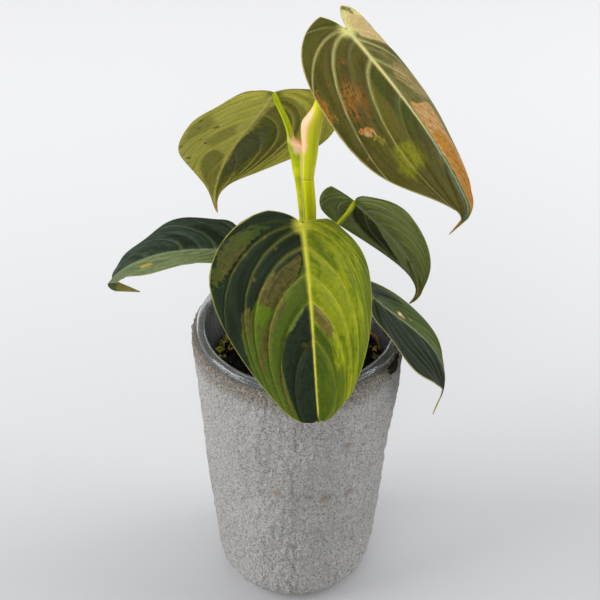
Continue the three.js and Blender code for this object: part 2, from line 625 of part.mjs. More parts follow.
// The terminal petiole: a rolled sheath with a winged bulge to the left, then a stalk up to its blade.
function terminalPetiole(blade) {
  const sides = 14;
  const rings = TOP_SHEATH.map(([z, x, halfWidth, halfDepth]) => {
    const ring = [];
    for (let j = 0; j < sides; j += 1) {
      const angle = (2 * Math.PI * (j + 0.5)) / sides;
      ring.push(new THREE.Vector3(x + halfWidth * Math.cos(angle), halfDepth * Math.sin(angle), z));
    }
    return ring;
  });
  const [z, x, halfWidth] = TOP_SHEATH[TOP_SHEATH.length - 1];
  const start = new THREE.Vector3(x, 0, z);
  const end = petioleEnd(blade);
  const away = end.point.clone().sub(start);
  const curve = new THREE.CubicBezierCurve3(
    start, start.clone().add(new THREE.Vector3(2.5, 0, 9)),
    end.point.clone().addScaledVector(end.up, -away.length() * 0.3), end.point,
  );
  const runs = 7;
  let across = new THREE.Vector3(0, 1, 0);
  for (let i = 1; i <= runs; i += 1) {
    const direction = curve.getTangentAt(i / runs);
    across = across.clone().addScaledVector(direction, -across.dot(direction)).normalize();
    const outer = across.clone().cross(direction).normalize();
    const radius = lerp(halfWidth, 1.6, Math.sqrt(i / runs));
    const middle = curve.getPointAt(i / runs);
    const ring = [];
    for (let j = 0; j < sides; j += 1) {
      const angle = (2 * Math.PI * (j + 0.5)) / sides;
      ring.push(middle.clone().addScaledVector(outer, radius * Math.cos(angle))
        .addScaledVector(across, radius * Math.sin(angle)));
    }
    rings.push(ring);
  }
  return outward(loft(rings));
}

function surfaceRoot() {
  const curve = new THREE.CatmullRomCurve3(SURFACE_ROOT.points.map((p) => new THREE.Vector3(...p)));
  return taperedTube(curve, (share) => SURFACE_ROOT.radius * (1 - 0.35 * share), 18, 8);
}

// The assembly
const group = new THREE.Group();

function add(name, geometry, color, roughness, options = {}) {
  const material = new THREE.MeshStandardMaterial({ color, roughness, metalness: 0, ...options });
  const mesh = new THREE.Mesh(outward(geometry.index ? geometry : mergeVertices(geometry)), material);
  mesh.name = name;
  group.add(mesh);
}

add('planter', planter(), 0xb9b4ae, 0.95);
add('nursery_cup', nurseryCup(), 0xc8d0d4, 0.15, { transparent: true, opacity: 0.35 });
add('substrate', substrate(), 0x1d1813, 1);
add('stem', stem(), 0x9aa32e, 0.5);
add('surface_root', surfaceRoot(), 0xa0662c, 0.7);
add('petiole_top_right', terminalPetiole(BLADES.top_right), 0xa9b04a, 0.5);
for (const [place, spec] of Object.entries(PETIOLES)) {
  add(`petiole_${place}`, petiole(spec, BLADES[place]), 0x8fa32a, 0.5);
}
const BLADE_COLORS = {
  top_right: 0x5c5a33, top_left: 0x6d7038, mid_right: 0x4c5635,
  mid_left: 0x26362d, front: 0x3f5222, low_right: 0x2b3d2b,
};
for (const [place, blade] of Object.entries(BLADES)) {
  add(`blade_${place}`, bladeSolid(blade), BLADE_COLORS[place], 0.65);
}

export default group;
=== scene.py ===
import json
import math
import random

import bpy
import numpy as np
from mathutils import Matrix, Vector

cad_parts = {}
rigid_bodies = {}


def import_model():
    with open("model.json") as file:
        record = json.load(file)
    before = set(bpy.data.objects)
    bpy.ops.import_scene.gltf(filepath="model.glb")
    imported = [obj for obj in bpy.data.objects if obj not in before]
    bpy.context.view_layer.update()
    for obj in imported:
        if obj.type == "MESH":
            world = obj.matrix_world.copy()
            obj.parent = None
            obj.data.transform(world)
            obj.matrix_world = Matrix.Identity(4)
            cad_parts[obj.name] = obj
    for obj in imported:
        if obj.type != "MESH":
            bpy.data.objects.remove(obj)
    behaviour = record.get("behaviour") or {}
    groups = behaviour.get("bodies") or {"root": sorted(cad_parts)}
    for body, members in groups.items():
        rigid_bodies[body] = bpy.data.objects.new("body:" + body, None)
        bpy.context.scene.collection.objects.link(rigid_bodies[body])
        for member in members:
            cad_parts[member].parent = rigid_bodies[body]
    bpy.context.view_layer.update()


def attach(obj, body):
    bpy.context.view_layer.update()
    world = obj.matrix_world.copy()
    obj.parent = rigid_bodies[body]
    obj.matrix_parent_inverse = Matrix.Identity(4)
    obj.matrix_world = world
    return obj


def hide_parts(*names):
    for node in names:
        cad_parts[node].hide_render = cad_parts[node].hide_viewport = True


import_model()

MM = 0.001

# Driving dimensions. They are those of the CAD source, apart from these, which are nearer the photograph:
# the drip tips of the front and mid_left blades, a softer quilt, the radii of the top_left and mid_right
# petioles, and how the top_left petiole's sheath lies on the stem (spread, narrowing, hug, gap and lip).
PLANTER = dict(height=165, rim=55, foot=40.5, wall=5, floor=8, foot_round=14, flare=0.85)
CUP = dict(floor_z=74, floor_r=37, wall=0.9, neck_r=48.9, lip_r=52.5, lip_height=4.3)
SOIL = dict(edge_z=143, middle_z=146, hole_r=5.2, hole_z=118)
GAP = 0.3
SOIL_GAP = GAP + 0.25

# How a blade is drawn: in mm the tail's end, the slit and the quilt, and the rest as shares and powers.
BLADE = dict(
    veins=7, basal=0.26, crowding=1.8, widest_share=0.42, handle=0.56, tail_end=0.27,
    slit=0.4, slit_fade=0.05, lobe_reach=0.1, lobe_sag=(0.35, 0.5), quilt=0.6, quilt_reach=1.08,
)
BANDS = BLADE["veins"] + 1

# How finely a blade is made: rows in each band between two side veins, rows in the tail, columns a half
BAND_ROWS = 12
TAIL_ROWS = 10
COLUMNS = 42

# Each blade, with pairs as [left half, right half] seen from above along the midrib. Angles are degrees.
BLADES = {
    "top_right": dict(
        joint=(19.5, 1.5, 337), length=105.5, tail=22, half_width=(43, 39), widest=0.35,
        lobe_back=(12.5, 11.5), lobe_out=(9, 7), taper=0.26, shoulder=0.14,
        heading=-42, bend=10, pitch=(30, 42, 64), roll=-2, twist=1,
        fold=(-13, -8), curl=(-1.4, -0.5), tail_turn=(-35, 64), wave=(0.9, 2.5, 0.6),
        veins=((0.08, 0.2, 0.33, 0.44, 0.56, 0.7, 0.85), (0.07, 0.14, 0.25, 0.38, 0.5, 0.66, 0.84)),
        sweep=(0, 0.75), bow=(0.4, 0.1), tail_half=2.4, tail_bend=(0.9, 1.02),
    ),
    "top_left": dict(
        joint=(-13.5, 10.5, 298.5), length=105.5, tail=3, half_width=(37, 39.5), widest=0.24,
        lobe_back=(4.5, 6), lobe_out=(13.5, 16.5), taper=0.33, shoulder=0.06,
        heading=126.5, bend=8.5, pitch=(59, 56, 86), roll=15, twist=13.5,
        fold=(-5, -10), curl=(-0.2, -0.4), tail_turn=(8, 26), wave=(0.6, 3, 1.2),
        veins=((0.1, 0.22, 0.35, 0.47, 0.57, 0.71, 0.85), (0.1, 0.2, 0.32, 0.44, 0.55, 0.65, 0.8)),
        sweep=(0.15, 0.75), bow=(0.5, 0.5), tail_half=0.9, tail_bend=(0.9, 1.03),
    ),
    "mid_right": dict(
        joint=(26.5, 5.5, 241), length=77, tail=3, half_width=(23, 26.5), widest=0.21,
        lobe_back=(14, 5.5), lobe_out=(4.5, 8.5), taper=0.32, shoulder=0.08,
        heading=21, bend=-29, pitch=(52, 55.5, 95.5), roll=-35.5, twist=-0.5,
        fold=(-10.5, 1), curl=(-0.9, 0.55), tail_turn=(22, 48), wave=(0.5, 2, 2.1),
        veins=((0.12, 0.25, 0.38, 0.52, 0.65, 0.77, 0.88), (0.1, 0.2, 0.32, 0.45, 0.57, 0.7, 0.84)),
        sweep=(0.6, 0.45), bow=(0.2, 0.5), tail_half=0.9, tail_bend=(0.9, 1.04),
    ),
    "mid_left": dict(
        joint=(-33, -9.5, 220.5), length=75, tail=13, half_width=(33, 35), widest=0.29,
        lobe_back=(12.5, 1), lobe_out=(16.5, 12), taper=0.27, shoulder=0.07,
        heading=168, bend=3.5, pitch=(6, 22, 59), roll=10.5, twist=-17,
        fold=(12, 0.5), curl=(0.3, -0.1), tail_turn=(20, 95), wave=(0.9, 3.5, 0.3),
        veins=((0.12, 0.24, 0.36, 0.48, 0.58, 0.7, 0.84), (0.12, 0.24, 0.36, 0.49, 0.58, 0.66, 0.82)),
        sweep=(0.3, 0.3), bow=(0.3, 0.3), tail_half=4.6, tail_bend=(0.92, 1),
    ),
    "front": dict(
        joint=(1, -39, 258.5), length=97, tail=0.8, half_width=(37.5, 49.5), widest=0.31,
        lobe_back=(3.5, 9), lobe_out=(14.5, 14.5), taper=-0.14, shoulder=0.2,
        heading=-79.5, bend=6.5, pitch=(38, 69, 70), roll=-7.5, twist=24,
        fold=(-20, -18), curl=(-0.8, -0.8), tail_turn=(12, 9), wave=(0.7, 3, 1.8),
        veins=((0.12, 0.23, 0.33, 0.5, 0.6, 0.69, 0.8), (0.12, 0.26, 0.36, 0.46, 0.58, 0.68, 0.79)),
        sweep=(0.45, 0.6), bow=(0.4, 0.2), tail_half=0.9, tail_bend=(0.9, 1.03),
    ),
    "low_right": dict(
        joint=(37, -13.5, 196.5), length=89, tail=12.5, half_width=(31, 26), widest=0.31,
        lobe_back=(11.5, 7.5), lobe_out=(15.5, 14.5), taper=0.29, shoulder=0.08,
        heading=16, bend=-6.5, pitch=(52, 53.5, 108), roll=-1.5, twist=25.5,
        fold=(-7, -7), curl=(-0.3, -0.4), tail_turn=(-50, -5), wave=(0.7, 3, 0.9),
        veins=((0.1, 0.22, 0.34, 0.46, 0.58, 0.7, 0.84), (0.1, 0.2, 0.31, 0.43, 0.57, 0.72, 0.85)),
        sweep=(0.6, 0.75), bow=(0.2, 0.2), tail_half=0.9, tail_bend=(0.9, 1.14),
    ),
}

# Each side petiole: its sheath clasps the stem from base_z to sheath_z towards azimuth, then it runs free.
# PETIOLE has what a petiole that says nothing else gets.
PETIOLE = dict(thick=1.6, bulge=0.3, radius=(2.1, 1.4), narrowing=0.25, hug=0.8, gap=GAP + 0.12, lip=0.35)
PETIOLES = {
    "top_left": dict(azimuth=176, base_z=207, sheath_z=277, spread=72, rise=0.3, thick=1, bulge=3.4,
                     radius=(1.8, 1.2), narrowing=0.6, hug=1.3, gap=-0.15, lip=0.05),
    "mid_right": dict(azimuth=12, base_z=187, sheath_z=202, spread=95, rise=0.45, thick=1.5,
                      radius=(1.6, 1.05)),
    "mid_left": dict(azimuth=186, base_z=158, sheath_z=171, spread=95, rise=0.4),
    "front": dict(azimuth=280, base_z=172.5, sheath_z=184, spread=62, rise=0.4, radius=(2.3, 1.5)),
    "low_right": dict(azimuth=-24, base_z=149.5, sheath_z=156, spread=90, rise=0.25),
}
# Points on each side of a clasping sheath, and half of the turn that each side takes in a round section
ARC = 15
SIDE_TURN = math.radians(80)
# A petiole stops this far below its blade's middle surface
BLADE_CLEARANCE = 0.5

# The terminal petiole's sheath, as (height, middle x, half width, half depth)
TOP_SHEATH = (
    (258.3, 3.2, 3, 3), (263, 3.4, 3.3, 3.2), (271, 3.8, 3.8, 3.6), (279, 4, 4.2, 3.9), (284, 4.2, 4.8, 4),
    (289, 4.7, 4.9, 3.8), (292.5, 6.1, 4.2, 3.4), (296, 7.4, 3.3, 2.9), (301, 8.5, 2.6, 2.5),
)
STEM_TOP = 258
STEM_LINE = ((0, 0, SOIL["hole_z"] + GAP), (0.2, 0, 150), (1.6, 0, 180), (3.2, 0, 208), (4.3, 0, 234),
             (3.2, 0, STEM_TOP))
# The stem's own middle and the terminal sheath's, as x at each height
AXIS_HEIGHTS = (118, 150, 180, 208, 234, 258, 271, 284)
AXIS_X = (0, 0.2, 1.6, 3.2, 4.3, 3.2, 3.8, 4.3)
NODE_HEIGHTS = (148, 157.5, 172, 186.5, 203, 232)
ROOT_POINTS = ((5.3, 2.7, 149.4), (17, 9, 151.5), (30, 13, 151.5), (40.5, 13, 150.5), (43.2, 8, 145.2))
ROOT_RADIUS = 0.8

# The broken place in the planter's rim (degrees round, and the height it grows from), the planter's pits, and
# its rust stains as (degrees round, height, radius)
BREAK = dict(at=-25, reach=9, from_z=150, full_after=13)
PITS = dict(count=150, heights=(6, 158), sizes=(0.6, 1.5), depths=(0.25, 0.7))
STAINS = (
    (-152, 122, 1.5), (-48, 133, 2.2), (-60, 126, 3.4), (-71, 88, 4.2), (-101, 94, 3.4), (-111, 92, 2.8),
    (-55, 88, 3.4), (-92, 52, 3), (-82, 91, 2.6), (20, 96, 3.2), (75, 120, 3), (140, 70, 3.6),
)
# Bark chips, and moss tufts as (x, y, reach, number of sprigs). Sizes are ranges of length, width and height.
CHIPS = dict(count=420, sizes=((1.2, 4.2), (1, 2.8), (0.6, 1.6)), lift=0.4)
MOSS_SIZES = ((0.7, 2.4), (0.5, 1.1), (0.5, 1.2))
MOSS_TUFTS = (
    (-41, 6, 2.2, 30), (-39, 11.5, 2.5, 34), (-36.5, 15, 2.8, 34), (-33, 13, 2.6, 18), (-40, 0, 2.2, 16),
    (-35, 7, 2.2, 12), (-30, 19, 3, 14), (40, 8, 2.2, 12), (41, 3, 2, 10), (0, 36, 4, 20),
)

# The photograph's view: focal length and pixels for a square image of this many pixels a side
VIEW = dict(focal=1600, elevation=38.98, distance=824.4, roll=1.046, aim_z=165, aim_pixel=(298.87, 328.31),
            pixels=600)
# Each light's place, what it is aimed at, its width and height in metres, and its power in watts
LIGHTS = dict(
    left_box=((-1.15, -0.25, 0.7), (0, 0, 0.16), (0.8, 1.1), 14),
    right_box=((1.1, 0.15, 0.65), (0, 0, 0.16), (0.8, 1), 9),
    top_box=((0.1, 0.4, 1.5), (0, 0, 0.1), (1.2, 1), 7),
    front_box=((-0.35, -1.25, 0.75), (0, 0, 0.2), (1.1, 0.9), 7),
)
FLOOR_REACH = 3
WORLD_STRENGTH = 0.42

# Named colours, as they should look in plain light, apart from under_lime, under_yellow and under_olive,
# which are lighter than that: painted light for the top_left blade's underside, which faces down into shade
TONES = dict(
    white="#f0e2d4", cream="#ece08f", cream_buff="#ddc88c", peach="#c9a673", pale_peach="#f0c79a",
    rust="#b4762e", rust_dark="#7c561f", orange="#9a5e14", amber="#c08a2a", brown="#67602a",
    umber="#474420", umber_dark="#38360f", tan="#8c7a44", gold="#8a8320", gold_dark="#6f6a1a",
    yellow="#b7a63a", lime_light="#a9b31c", lime_deep="#55691a", yellow_green="#98a22a", grass="#5d7310",
    leaf_green="#566a1c", moss="#4b5a1a", green_deep="#3d5418", olive="#605a20", olive_dark="#4a4716",
    olive_grey="#7d7848", deep="#1b2412", ink="#131a0b", deep_blue="#263322", blue_green="#3a483c",
    slate="#4a5641", grey_green="#67754c", sage="#8a966a", under_lime="#d6d157", under_yellow="#e4de70",
    under_olive="#aaa54a", under_dark="#77742f", under_brown="#5f5b30", under_lens="#5c5a36",
    under_grey="#70754a", under_green="#7c8746", under_black="#45462b", straw="#c9bd74",
    vein_cream="#dcd58a", heart_cream="#f6f49a", bright_rib="#dfdc4a", cream_rib="#ddd38c", blush="#f6c8a0",
    stem_yellow="#e9e604", stem_lime="#c9cd14", stem_green="#93a310", sheath_olive="#cbc52e",
    stalk_green="#a9b512", lime_mid="#6c8018", gold_green="#8f9410", stem_pale="#e8e58c",
)
# Named colours as linear values. Three are painted shade: the darker middles of a blade's quilted bands
# between its veins, the planter's pores, and the floor near the front.
SHADES = dict(
    quilt_shade=(0.66, 0.7, 0.55), leaf_grain=(0.55, 0.55, 0.5), cement=(0.73, 0.71, 0.69),
    cement_light=(0.8, 0.785, 0.765), cement_pore_shade=(0.2, 0.185, 0.165), cement_streak=(0.28, 0.265, 0.24),
    cement_sand=(0.92, 0.91, 0.89), cement_speck=(0.16, 0.14, 0.12), rim_dirt=(0.22, 0.17, 0.11),
    rim_tint=(0.36, 0.31, 0.24), rust_stain=(0.36, 0.16, 0.07), broken_edge=(0.035, 0.028, 0.02),
    plastic=(0.9, 0.93, 0.94), plastic_haze=(0.78, 0.8, 0.8), mix_dark=(0.006, 0.005, 0.004),
    mix_light=(0.028, 0.02, 0.013), bark_light=(0.06, 0.035, 0.016), bark_grain=(0.02, 0.014, 0.009),
    moss_dark=(0.12, 0.13, 0.012), moss_light=(0.62, 0.56, 0.14), moss_grain=(0.05, 0.05, 0.008),
    # The floor's two colours: painted shade near the front, and the lighter floor at the back.
    floor_shade_near=(0.43, 0.435, 0.445), floor_far=(0.82, 0.825, 0.84),
)
TOP_COLORS = ("sheath_olive", "stem_lime", "pale_peach")
SIDE_COLORS = ("stem_green", "stem_lime", "stem_pale")


def tone(name):
    """A named colour as linear values."""
    if name in SHADES:
        return (*SHADES[name], 1.0)
    values = [int(TONES[name][i:i + 2], 16) / 255 for i in (1, 3, 5)]
    return (*(v / 12.92 if v <= 0.04045 else ((v + 0.055) / 1.055) ** 2.4 for v in values), 1.0)


def lerp(a, b, t):
    return a + (b - a) * t


def clamp(x, low=0.0, high=1.0):
    return np.clip(x, low, high)


def unit(v):
    return v / np.maximum(np.linalg.norm(v, axis=-1, keepdims=True), 1e-9)


def bell(x):
    """1 at 0, falling smoothly to 0 on both sides."""
    return np.exp(-(x ** 2))


def swing(a, b, angle):
    """Two directions turned in their own plane, a towards b."""
    c, s = math.cos(angle), math.sin(angle)
    return a * c + b * s, b * c - a * s


def full_turn(count):
    return 2 * math.pi * np.arange(count) / count


def value_noise(x, y, seed, wrap=256):
    """Smooth noise from -1 to 1 over a unit lattice. x repeats after wrap cells, y after 256."""
    lattice = np.random.default_rng(seed).uniform(-1, 1, (257, 257))
    xi, yi = np.floor(x).astype(int), np.floor(y).astype(int)
    fx, fy = x - xi, y - yi
    fx = fx * fx * (3 - 2 * fx)
    fy = fy * fy * (3 - 2 * fy)
    x0, x1 = xi % wrap, (xi + 1) % wrap
    y0, y1 = yi % 256, (yi + 1) % 256
    return lerp(lerp(lattice[x0, y0], lattice[x1, y0], fx), lerp(lattice[x0, y1], lattice[x1, y1], fx), fy)


# Meshes
def make_object(name, points, faces, materials, face_material=None, attributes=None, smooth=True):
    """An object from points in millimetres and a list of faces."""
    mesh = bpy.data.meshes.new(name)
    mesh.from_pydata((np.asarray(points) * MM).tolist(), [], faces)
    for material in materials:
        mesh.materials.append(material)
    if face_material is not None:
        mesh.polygons.foreach_set("material_index", np.asarray(face_material, dtype=np.int32))
    if smooth:
        mesh.polygons.foreach_set("use_smooth", np.ones(len(mesh.polygons), dtype=bool))
    for key, values in (attributes or {}).items():
        values = np.asarray(values, dtype=np.float32)
        if values.ndim == 1:
            mesh.attributes.new(key, "FLOAT", "POINT").data.foreach_set("value", values)
        else:
            mesh.attributes.new(key, "FLOAT_VECTOR", "POINT").data.foreach_set("vector", values.ravel())
    mesh.update()
    piece = bpy.data.objects.new(name, mesh)
    bpy.context.scene.collection.objects.link(piece)
    return piece


def ring_faces(rows, count, start=0):
    """Quads between rows of points that close on themselves."""
    faces = []
    for i in range(rows - 1):
        for j in range(count):
            a = start + i * count + j
            b = start + i * count + (j + 1) % count
            faces.append((a, b, b + count, a + count))
    return faces


def closed_faces(rows, count):
    """Ring faces, and fans to two middle points that follow the rows: the first row's, then the last's."""
    faces = ring_faces(rows, count)
    low, high, last = rows * count, rows * count + 1, (rows - 1) * count
    for j in range(count):
        k = (j + 1) % count
        faces += [(k, j, low), (last + j, last + k, high)]
    return faces


def around(profile, sides):
    """A profile turned round the z axis: the angle of each point, and each of the profile's columns."""
    angle = np.broadcast_to(full_turn(sides), (len(profile), sides))
    return angle, *(np.repeat(column[:, None], sides, 1) for column in np.array(profile, dtype=float).T)


def round_points(radius, angle, z):
    return np.stack([radius * np.cos(angle), radius * np.sin(angle), np.broadcast_to(z, angle.shape)], -1)


def place(piece, node):
    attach(piece, "root")
    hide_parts(node)


def place_loose(piece):
    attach(piece, "root")


# Materials
class Graph:
    """A small helper for one material's nodes."""

    def __init__(self, name):
        self.material = bpy.data.materials.new(name)
        self.material.use_nodes = True
        self.nodes = self.material.node_tree.nodes
        self.links = self.material.node_tree.links
        self.shader = self.nodes["Principled BSDF"]

    def put(self, socket, value):
        """Fills a socket with a link, a named colour or a plain value. None leaves it as it is."""
        if isinstance(value, str):
            value = tone(value)
        if isinstance(value, bpy.types.NodeSocket):
            self.links.new(value, socket)
        elif value is not None:
            socket.default_value = value

    def node(self, kind, **inputs):
        """A new node with its named inputs filled."""
        node = self.nodes.new(f"ShaderNode{kind}")
        for name, value in inputs.items():
            self.put(node.inputs[name.replace("_", " ")], value)
        return node

    def attribute(self, name, output="Fac"):
        node = self.node("Attribute")
        node.attribute_name = name
        return node.outputs[output]

    def object_place(self):
        return self.node("TexCoord").outputs["Object"]

    def math(self, operation, *values):
        node = self.node("Math")
        node.operation = operation
        for socket, value in zip(node.inputs, values):
            self.put(socket, value)
        return node.outputs[0]

    def times(self, a, b):
        return self.math("MULTIPLY", a, b)

    def most(self, a, b):
        return self.math("MAXIMUM", a, b)

    def add(self, a, share, b):
        """share of a, and b."""
        return self.math("MULTIPLY_ADD", a, share, b)

    def sway(self, noise, size, b):
        """b moved to and fro by a noise."""
        return self.add(self.math("SUBTRACT", noise, 0.5), size, b)

    def stretch(self, vector, scale):
        node = self.node("VectorMath")
        node.operation = "MULTIPLY"
        self.put(node.inputs[0], vector)
        self.put(node.inputs[1], scale)
        return node.outputs[0]

    def part(self, vector, k):
        return self.node("SeparateXYZ", Vector=vector).outputs[k]

    def noise(self, vector, scale, detail=4.0, roughness=0.6):
        node = self.node("TexNoise", Vector=vector, Scale=scale, Detail=detail, Roughness=roughness)
        return node.outputs["Fac"]

    def cells(self, vector, scale):
        return self.node("TexVoronoi", Vector=vector, Scale=scale).outputs["Distance"]

    def ramp(self, value, low, high, to_low=0.0, to_high=1.0):
        """A smooth step of value from low to high."""
        node = self.node("MapRange")
        node.interpolation_type = "SMOOTHSTEP"
        for name, number in zip(("Value", "From Min", "From Max", "To Min", "To Max"),
                                (value, low, high, to_low, to_high)):
            self.put(node.inputs[name], number)
        return node.outputs[0]

    def mix(self, share, a, b, blend="MIX"):
        node = self.node("Mix")
        node.data_type = "RGBA"
        node.blend_type = blend
        for k, value in ((0, share), (6, a), (7, b)):
            self.put(node.inputs[k], value)
        return node.outputs[2]

    def bump(self, height, distance, strength, normal=None):
        node = self.node("Bump", Strength=strength, Distance=distance, Height=height, Normal=normal)
        return node.outputs[0]

    def done(self, color, normal, roughness, specular, transmission=None, ior=None):
        """The finished material. What is a plain number here goes on the shader's own socket."""
        for name, value in (("Base Color", color), ("Normal", normal), ("Roughness", roughness),
                            ("Specular IOR Level", specular), ("Transmission Weight", transmission),
                            ("IOR", ior)):
            self.put(self.shader.inputs[name], value)
        return self.material


# Blade shape, the same form as the CAD source gives it
def along_row(blade, half, row, across):
    """Where a row lies along its half: its own veins away from the midrib, a shared place on it."""
    marks = np.arange(BANDS + 1) / BANDS
    places = [np.interp(row, marks, [0, *veins, 1]) for veins in blade["veins"]]
    start = lerp((places[0] + places[1]) / 2, places[half], clamp(across * 5))
    swept = start + blade["sweep"][half] * (1 - start) * clamp((start - 0.06) / 0.3) * across ** 2
    return np.where(row >= 1, row, swept)


def bezier(points, t):
    """Each coordinate of a curve at t, from its two ends and two handles."""
    s = 1 - t
    weights = s ** 3, 3 * t * s * s, 3 * t * t * s, t ** 3
    return [sum(weight * point[k] for weight, point in zip(weights, points)) for k in (0, 1)]


def flat_point(blade, half, along, across):
    """Where (along, across) lies in the flat blade."""
    length, tail, tail_half = blade["length"], blade["tail"], blade["tail_half"]
    width, back, out = blade["half_width"][half], blade["lobe_back"][half], blade["lobe_out"][half]
    widest = blade["widest"] * length
    k, share = BLADE["handle"], BLADE["widest_share"]
    near = bezier(((-back, out), (-back, out + k * (width - out)), (widest - k * (widest + back), width),
                   (widest, width)), clamp(along / share))
    far = bezier(((widest, width), (widest + k * (length - widest), width),
                  (length - blade["taper"] * (length - widest), tail_half + blade["shoulder"] * width),
                  (length, tail_half)), clamp((along - share) / (1 - share)))
    past = clamp(along - 1)
    edge_u = np.where(along < share, near[0], far[0]) + tail * past
    edge_v = np.where(along < share, near[1], far[1]) - (tail_half - BLADE["tail_end"]) * past
    on_rib = clamp((along - BLADE["basal"]) / (1 - BLADE["basal"])) ** BLADE["crowding"]
    start = length * on_rib + tail * past
    basal = bell(along / BLADE["lobe_reach"])
    arch = blade["bow"][half] * (1 - basal)
    bow_u = -BLADE["lobe_sag"][0] * back * basal - arch * edge_v
    bow_v = -BLADE["lobe_sag"][1] * out * basal + arch * (edge_u - start)
    sag = across * (1 - across)
    slit = BLADE["slit"] * clamp(across * 6) * np.exp(-along / BLADE["slit_fade"])
    return start + (edge_u - start) * across + bow_u * sag, edge_v * across + bow_v * sag + slit


def midrib(blade, steps=160):
    """The bent midrib: even distances, points, directions and headings."""
    length, total = blade["length"], blade["length"] + blade["tail"]
    d = np.linspace(0, total, steps + 1)
    s = np.minimum(d / length, 1)
    bend_from, bend_to = blade["tail_bend"]
    turn = clamp((d / length - bend_from) / (bend_to - bend_from))
    p0, p1, p2 = blade["pitch"]
    pitch = np.radians(p0 * (1 - s) * (1 - 2 * s) + p1 * 4 * s * (1 - s) + p2 * s * (2 * s - 1)
                       + blade["tail_turn"][1] * turn)
    heading = np.radians(blade["heading"] + blade["bend"] * s + blade["tail_turn"][0] * turn)
    level = np.cos(pitch)
    direction = np.stack([np.cos(heading) * level, np.sin(heading) * level, -np.sin(pitch)], 1)
    steps_between = (direction[1:] + direction[:-1]) * (total / steps / 2)
    points = np.array(blade["joint"]) + np.vstack([np.zeros(3), np.cumsum(steps_between, axis=0)])
    return d, points, direction, heading


def rib_frame(blade, rib, u):
    """Point, side and up of the midrib at distance u."""
    d, points, directions, headings = rib
    at = clamp(u, 0, d[-1])
    point, direction = (np.stack([np.interp(at, d, rows[:, k]) for k in range(3)], -1)
                        for rows in (points, directions))
    direction = unit(direction)
    heading = np.interp(at, d, headings)
    point = point + direction * np.minimum(u, 0)[..., None]
    side = np.stack([-np.sin(heading), np.cos(heading), np.zeros_like(heading)], -1)
    side = unit(side - direction * np.sum(side * direction, -1, keepdims=True))
    up = np.cross(direction, side)
    roll = np.radians(blade["roll"] + blade["twist"] * clamp(u / blade["length"]))[..., None]
    return point, side * np.cos(roll) + up * np.sin(roll), up * np.cos(roll) - side * np.sin(roll)


def bent_point(blade, rib, half, u, v, lift):
    """Where a point of the flat blade lies once its half is folded and curled off the midrib."""
    point, side, up = rib_frame(blade, rib, u)
    fold = math.radians(blade["fold"][half])
    curl = blade["curl"][half] / 100
    across = (np.sin(fold + curl * v) - math.sin(fold)) / curl
    rise = (math.cos(fold) - np.cos(fold + curl * v)) / curl
    return point + side * mirrored(half, across)[..., None] + up * (rise + lift)[..., None]


def mirrored(half, v):
    """A distance from the midrib, which counts as negative in the right half."""
    return v if half == 0 else -v


def crowded(count, strength):
    """Shares from 0 to 1 that crowd at both ends."""
    t = np.linspace(0, 1, count + 1)
    return t - strength * np.sin(2 * np.pi * t)


def nearest(points, line):
    """The distance from each point to a polyline, in the flat."""
    best = np.full(points.shape[:-1], 1e9)
    for a, b in zip(line[:-1], line[1:]):
        along = b - a
        t = clamp(((points - a) @ along) / max((along ** 2).sum(), 1e-9))
        best = np.minimum(best, ((points - a - t[..., None] * along) ** 2).sum(-1))
    return np.sqrt(best)


def blade_rows():
    inside = [(band + crowded(BAND_ROWS, 0.1)[:-1]) / BANDS for band in range(BANDS)]
    return np.concatenate([*inside, 1 + np.arange(TAIL_ROWS + 1) / TAIL_ROWS])


